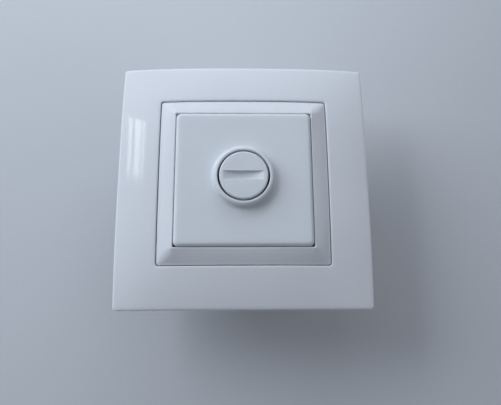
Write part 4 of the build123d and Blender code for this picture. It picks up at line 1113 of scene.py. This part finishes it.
@dataclass
class ControlKnob:
    """The round knob with its scooped groove, in millimetres and plate coordinates."""

    palette: Palette
    radius: float = 7.7
    top: float = 16.0
    foot: float = 11.2
    edge: float = 0.5
    cap: float = 2.2
    wall: float = 1.0
    groove_length: float = 12.8
    groove_width: float = 2.8
    groove_depth: float = 1.4
    groove_edge: float = 0.13
    boss: float = 4.4
    boss_foot: float = 9.4
    bore: float = 3.02

    def profile(self) -> list[tuple[float, float]]:
        """Half section of the cap, as radius and height, from the face's centre round to the inside."""
        points = [(0.0, self.top), (self.radius * 0.55, self.top)]
        points += [(self.radius - inset, self.top - drop) for inset, drop in arc_back(self.edge, 6)]
        inner = self.radius - self.wall
        under = self.top - self.cap
        return points + [(self.radius, self.foot), (inner, self.foot), (inner, under), (self.boss, under),
                         (self.boss, self.boss_foot), (self.bore, self.boss_foot), (self.bore, under),
                         (0.0, under)]

    def scoop(self) -> bpy.types.Mesh:
        """Disc that cuts the groove across the face."""
        radius = (self.groove_length ** 2 / 4 + self.groove_depth ** 2) / (2 * self.groove_depth)
        half = self.groove_width / 2
        disc = lathe("groove_cutter", [(0.0, half), (radius, half), (radius, -half), (0.0, -half)], 512)
        lift = Matrix.Translation((0, 0, (self.top - self.groove_depth + radius) * MM))
        disc.transform(lift @ OUT_OF_WALL)
        return disc

    def build(self) -> None:
        """Builds the knob and lets it stand for its CAD node."""
        obj = add_object("knob_cap", lathe("knob_cap", self.profile(), 160))
        shape_with(obj, Shaping.CUT, self.scoop())
        merge_flats(obj.data)
        break_edges(obj, self.groove_edge * MM, 5)
        stand_up(obj)
        smooth_by_angle(obj.data, 20.0)
        even_flats(obj)
        self.palette.stand_in(obj, "knob")


# ---- springs and windings


@dataclass
class Coils:
    """The wound pieces: return spring, claw springs and the choke's winding."""

    palette: Palette
    trees: Trees
    spring_radius: float = 2.1
    claw_x: float = 26.3
    claw_wire: float = 0.25
    claw_length: float = 10.0
    claw_turns: float = 6.5
    claw_seat: float = -10.35
    return_wire: float = 0.18
    return_turns: float = 4.5
    choke_wire: float = 0.32
    choke_pitch: float = 2.06
    lead_radius: float = 0.3
    lead_inset: float = 0.5

    def wound(self, name: str, slot: str, sizes: dict[str, object]) -> bpy.types.Object:
        """Winds one coil with the shared tree."""
        obj = add_object(name, bpy.data.meshes.new(name))
        run_tree(obj, self.trees.coil, {**sizes, "Steps": 40, "Material": self.palette.materials[slot]})
        return obj

    def spring(self, node: str, wire: float, turns: float, seat: Point, length: float) -> bpy.types.Object:
        """Winds a steel spring that stands for a CAD node.

        Args:
            node: The CAD node's name.
            wire: The wire's radius, in millimetres.
            turns: Number of turns.
            seat: Where its axis starts, in plate coordinates, in metres.
            length: From the first turn's middle to the last one's, in metres.

        Returns:
            The spring.
        """
        obj = self.wound(node + "_coil", "spring_steel", {
            "Radius": self.spring_radius * MM, "Wire": wire * MM, "Length": length, "Turns": turns,
            "Start": seat})
        stand_up(obj)
        smooth_by_angle(obj.data, 60.0)
        self.palette.stand_in(obj, node)
        return obj

    def claw_springs(self) -> None:
        """Winds a spring round each claw screw, each with a mesh of its own."""
        for side, sign in (("right", 1), ("left", -1)):
            seat = (sign * self.claw_x * MM, 0.0, self.claw_seat * MM)
            obj = self.spring(f"claw_spring_{side}", self.claw_wire, self.claw_turns, seat,
                              self.claw_length * MM)
            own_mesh(obj)

    def return_spring(self) -> None:
        """Winds the spring under the plunger, with a mesh of its own."""
        low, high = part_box("return_spring")
        wire = self.return_wire * MM
        obj = self.spring("return_spring", self.return_wire, self.return_turns, (0.0, 0.0, -high.y + wire),
                          high.y - low.y - 2 * wire)
        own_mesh(obj)

    def choke(self) -> None:
        """Winds enamelled wire turn beside turn on the ferrite rod."""
        low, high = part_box("choke_winding")
        middle = (low + high) / 2
        wire, outside = self.choke_wire * MM, (high.x - low.x) / 2
        length = high.z - low.z - 2 * wire
        turns = int(length / (self.choke_pitch * wire))
        obj = self.wound("choke_winding_turns", "copper_wire", {
            "Radius": outside - wire, "Wire": wire, "Length": length, "Turns": float(turns),
            "Start": (0.0, 0.0, -length / 2), "Sides": 8})
        axis_y = low.y + outside
        obj.data.transform(Matrix.Translation((middle.x, axis_y, middle.z)))
        lead, reach = self.lead_radius, (high.y - axis_y) / MM
        for z in (low.z + self.lead_inset * MM, high.z - self.lead_inset * MM):
            leg = lathe("lead", [(0.0, 0.0), (lead, 0.0), (lead, reach), (0.0, reach)], 16)
            leg.transform(Matrix.Translation((middle.x, high.y, z)) @ OUT_OF_WALL)
            join_mesh(obj, leg)
        smooth_by_angle(obj.data, 60.0)
        self.palette.stand_in(obj, "choke_winding")
        log.info("choke winding has %d turns", turns)

    def build(self) -> None:
        """Winds every coil."""
        self.claw_springs()
        self.return_spring()
        self.choke()


# ---- screws


class Drive(Enum):
    """What the driver turns a screw by."""

    SLOT = "slot"
    CROSS = "cross"


@dataclass(frozen=True)
class MachineScrew:
    """A threaded screw with a rounded head, in millimetres, its tip at the foot and its axis outwards."""

    name: str
    head_radius: float
    head_height: float
    shank_radius: float
    shank_length: float
    drive: Drive
    drive_length: float
    drive_depth: float
    pitch: float = 0.7
    head_round: float = 0.5
    slot_width: float = 0.6
    neck: float = 1.0
    runout: float = 0.3
    tip: float = 0.5
    tip_taper: float = 0.4

    def blank(self) -> bpy.types.Mesh:
        """The turned body without its thread, from the head's face to the tip."""
        seat, radius = self.shank_length, self.shank_radius
        top = seat + self.head_height
        core = radius - self.pitch * 0.25
        points = [(0.0, top), (self.head_radius * 0.4, top)]
        points += [(self.head_radius - inset, top - drop) for inset, drop in arc_back(self.head_round, 4)]
        points += [(self.head_radius, seat), (radius, seat), (radius, seat - self.neck),
                   (core, seat - self.neck - self.runout), (core, self.tip),
                   (core - self.tip_taper, 0.0), (0.0, 0.0)]
        return lathe(self.name, points, 40)

    def drive_cutters(self) -> list[bpy.types.Mesh]:
        """The boxes that cut the slot or the cross."""
        half, wide = self.drive_length / 2, self.slot_width / 2
        low = self.shank_length + self.head_height - self.drive_depth
        high = low + 5.0
        cutters = [box_mesh((-half, -wide, low), (half, wide, high))]
        if self.drive is Drive.CROSS:
            cutters.append(box_mesh((-wide, -half, low), (wide, half, high)))
        return cutters

    def template(self, trees: Trees, material: bpy.types.Material) -> bpy.types.Object:
        """Builds one finished screw.

        Args:
            trees: The shared geometry trees.
            material: Its finish.

        Returns:
            A loose object that the caller places or repeats.
        """
        obj = add_object(self.name, self.blank())
        shape_with(obj, Shaping.CUT, *self.drive_cutters())
        merge_flats(obj.data)
        break_edges(obj, 0.06 * MM, 2, 40.0)
        thread = add_object(self.name + "_thread", bpy.data.meshes.new(self.name + "_thread"))
        crest = self.pitch * 0.26
        length = self.shank_length - self.neck - 2 * self.runout - 2 * crest
        run_tree(thread, trees.coil, {
            "Radius": (self.shank_radius - crest) * MM, "Wire": crest * MM, "Length": length * MM,
            "Turns": length / self.pitch, "Start": (0.0, 0.0, (self.tip_taper + crest) * MM),
            "Steps": 24, "Sides": 6, "Material": material})
        join_mesh(obj, thread.data)
        bpy.data.objects.remove(thread)
        smooth_by_angle(obj.data, 40.0)
        return obj


@dataclass
class Screws:
    """Every screw of the dimmer that shows: claw screws, housing screws and terminal screws."""

    palette: Palette
    trees: Trees

    def repeated(self, screw: MachineScrew, node: str, places: Sequence[Point], turn: Matrix) -> None:
        """Sets copies of a screw at several places as one piece.

        Args:
            screw: The screw.
            node: The CAD node that the piece stands for.
            places: The foot of each screw's tip, in metres, in the row's frame.
            turn: Turns the outward axis to the screws' own.
        """
        material = self.palette.materials[self.palette.slots[node]]
        template = screw.template(self.trees, material)
        template.data.transform(turn)
        points = bpy.data.meshes.new(screw.name + "_set")
        points.from_pydata(list(places), [], [])
        obj = add_object(screw.name + "_set", points)
        run_tree(obj, self.trees.repeat, {"Piece": template, "Material": material})
        bpy.data.objects.remove(template)
        smooth_by_angle(obj.data, 40.0)
        self.palette.stand_in(obj, node)

    def claw_screws(self) -> None:
        """Sets the long slotted screw of each claw."""
        for side in ("right", "left"):
            node = f"claw_screw_{side}"
            low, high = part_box(node)
            screw = MachineScrew(node + "_turned", head_radius=2.7, head_height=1.6, shank_radius=1.5,
                                 shank_length=(high.y - low.y) / MM - 1.6, drive=Drive.SLOT,
                                 drive_length=7.4, drive_depth=0.9)
            self.repeated(screw, node, [((low.x + high.x) / 2, high.y, (low.z + high.z) / 2)], OUT_OF_WALL)

    def housing_screws(self) -> None:
        """Sets the four cross-head screws that hold the support plate on the housing."""
        low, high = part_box("housing_screws")
        screw = MachineScrew("housing_screw", head_radius=2.3, head_height=1.4, shank_radius=1.2,
                             shank_length=(high.y - low.y) / MM - 1.4, drive=Drive.CROSS,
                             drive_length=2.8, drive_depth=0.7)
        head = screw.head_radius * MM
        places = [(x, high.y, z) for x in (low.x + head, high.x - head)
                  for z in (low.z + head, high.z - head)]
        self.repeated(screw, "housing_screws", places, OUT_OF_WALL)

    def terminal_screws(self) -> None:
        """Sets the three clamp screws, which point upwards from the housing's foot."""
        low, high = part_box("terminal_screws")
        screw = MachineScrew("terminal_screw", head_radius=1.9, head_height=1.7, shank_radius=1.25,
                             shank_length=(high.z - low.z) / MM - 1.7, drive=Drive.SLOT,
                             drive_length=5.0, drive_depth=0.8, head_round=0.3)
        left, right = low.x + screw.head_radius * MM, high.x - screw.head_radius * MM
        places = [(x, (low.y + high.y) / 2, high.z) for x in (left, (left + right) / 2, right)]
        self.repeated(screw, "terminal_screws", places, Matrix.Rotation(math.radians(180), 4, "X"))

    def build(self) -> None:
        """Sets every screw."""
        self.claw_screws()
        self.housing_screws()
        self.terminal_screws()


# ---- the rest of the mechanism


@dataclass
class Mechanism:
    """The pieces behind the covers, whose CAD shape is right: finer copies of what shows, and finishes."""

    palette: Palette
    refined: tuple[str, ...] = (
        "support_plate", "housing", "housing_cover", "claw_right", "claw_left", "claw_pins",
        "terminal_cages", "bushing_nut", "pot_bushing")

    def build(self) -> None:
        """Copies and dresses what shows, and dresses every other node."""
        for node in self.refined:
            self.palette.stand_in(refined_copy(node), node)
        for node, obj in frame["nodes"].items():
            if not obj.hide_render:
                self.palette.dress(obj, self.palette.slots[node])
                log.info("%s keeps its CAD shape", node)


# ---- studio


DAYLIGHT: Colour = (0.84, 0.92, 1.0)


@dataclass(frozen=True)
class AreaLight:
    """A soft area light that is aimed at the dimmer, in metres and watts."""

    name: str
    place: Point
    size: tuple[float, float]
    power: float
    colour: Colour = DAYLIGHT
    reflected: bool = True

    def build(self) -> None:
        """Sets the light; one that isn't reflected lights the faces but leaves no sheen on them."""
        data = bpy.data.lights.new(self.name, "AREA")
        data.shape = "RECTANGLE"
        data.size, data.size_y = self.size
        data.energy = self.power
        data.color = self.colour
        obj = add_object(self.name, data)
        obj.location = self.place
        obj.rotation_euler = (-Vector(self.place)).to_track_quat("-Z", "Y").to_euler()
        obj.visible_glossy = self.reflected


@dataclass
class Studio:
    """Backdrop, lights and camera, in metres."""

    pane_power: float = 2.0
    pane_height: float = 0.15
    window: Point = (-0.35, -0.46, 0.24)
    window_turn: tuple[float, float] = (0.8, -0.6)
    panes: tuple[tuple[float, float], ...] = ((-0.046, 0.016), (-0.005, 0.030), (0.025, 0.010))
    sky_colour: Colour = (0.84, 0.90, 1.0)
    sky_axis: Point = (-0.35, 0.0, 0.94)
    sky_low: float = 0.165
    sky_high: float = 0.375
    board_reach: float = 1.5
    board_gap: float = 0.0004
    clear_within: float = 0.006
    lens: float = 36.81
    camera_place: Point = (-0.00157, -0.16879, -0.04643)
    camera_right: Point = (0.99973, -0.02203, -0.00619)
    camera_up: Point = (0.00076, -0.23817, 0.97122)
    camera_back: Point = (-0.02288, -0.97097, -0.23810)

    def camera(self) -> None:
        """Sets the camera below the knob's axis, looking slightly up at the wall."""
        data = bpy.data.cameras.new("camera")
        data.lens = self.lens
        data.sensor_width = 36.0
        data.clip_start = 0.005
        obj = add_object("camera", data)
        axes = Matrix((self.camera_right, self.camera_up, self.camera_back)).transposed().to_4x4()
        obj.matrix_world = Matrix.Translation(self.camera_place) @ axes
        bpy.context.scene.camera = obj

    def backdrop_material(self) -> bpy.types.Material:
        """Pale matt paint, clear from behind, to shadow rays and to rays shorter than clear_within."""
        made, graph, shader = new_material("pale_backdrop")
        noise = graph.noise(graph.place(), 900.0)
        tone = graph.blend(noise, rgba((0.60, 0.62, 0.66)), rgba((0.63, 0.65, 0.69)))
        graph.feed(shader.inputs["Base Color"], tone)
        shader.inputs["Roughness"].default_value = 0.9
        clear = graph.add("ShaderNodeBsdfTransparent")
        side = graph.add("ShaderNodeNewGeometry")
        path = graph.add("ShaderNodeLightPath")
        near = graph.math("LESS_THAN", path.outputs["Ray Length"], self.clear_within)
        hidden = graph.math("MAXIMUM", near, graph.math("MAXIMUM", side.outputs["Backfacing"],
                                                        path.outputs["Is Shadow Ray"]))
        both = graph.add("ShaderNodeMixShader", {0: hidden, 1: shader.outputs[0], 2: clear.outputs[0]})
        output = next(n for n in graph.tree.nodes if n.type == "OUTPUT_MATERIAL")
        graph.feed(output.inputs["Surface"], both.outputs[0])
        return made

    def backdrop(self) -> None:
        """Sets a pale board just behind the dimmer, upright as the part stands."""
        reach, y = self.board_reach, CAD_BOX[1].y + self.board_gap
        mesh = bpy.data.meshes.new("backdrop")
        mesh.from_pydata([(-reach, y, -reach), (reach, y, -reach), (reach, y, reach), (-reach, y, reach)],
                         [], [(0, 1, 2, 3)])
        obj = add_object("backdrop", mesh)
        obj.data.materials.append(self.backdrop_material())

    def lights(self) -> None:
        """Sets a key at the upper left, a light from above, a window's panes, a fill and one behind."""
        AreaLight("key", (-0.444, -0.30, 0.27), (0.45, 0.45), 2.45, reflected=False).build()
        AreaLight("top", (0.0, -0.11, 0.22), (0.16, 0.10), 0.15, reflected=False).build()
        x, y, z = self.window
        for pane, (shift, width) in enumerate(self.panes):
            place = (x + self.window_turn[0] * shift, y + self.window_turn[1] * shift, z)
            AreaLight(f"pane_{pane}", place, (width, self.pane_height), self.pane_power * width,
                      (0.90, 0.95, 1.0)).build()
        AreaLight("fill", (0.5, -0.5, -0.1), (0.6, 0.6), 0.25, (0.96, 0.97, 1.0)).build()
        AreaLight("back", (0.35, 0.55, 0.45), (0.5, 0.5), 4.0, (1.0, 0.99, 0.97)).build()

    def sky(self) -> None:
        """Sets a pale sky that brightens towards the upper left."""
        world = bpy.data.worlds.new("studio")
        bpy.context.scene.world = world
        world.use_nodes = True
        background = next(n for n in world.node_tree.nodes if n.type == "BACKGROUND")
        graph = Graph(world.node_tree)
        seen = graph.add("ShaderNodeTexCoord")
        upwards = graph.dot(seen.outputs["Generated"], self.sky_axis)
        graph.feed(background.inputs[0], rgba(self.sky_colour))
        graph.feed(background.inputs[1], graph.ramp(upwards, -1.0, 1.0, self.sky_low, self.sky_high))

    def build(self) -> None:
        """Builds the studio."""
        self.camera()
        self.backdrop()
        self.lights()
        self.sky()
        bpy.context.scene.view_settings.view_transform = "Standard"


def main() -> None:
    """Builds the dimmer's looks in order."""
    logging.basicConfig(level=logging.INFO, format="%(name)s: %(message)s")
    palette = Palette(frame["record"])
    trees = Trees.build()
    FrontCovers(palette, trees).build()
    ControlKnob(palette).build()
    Coils(palette, trees).build()
    Screws(palette, trees).build()
    Mechanism(palette).build()
    Studio().build()


if __name__ == "__main__":
    main()
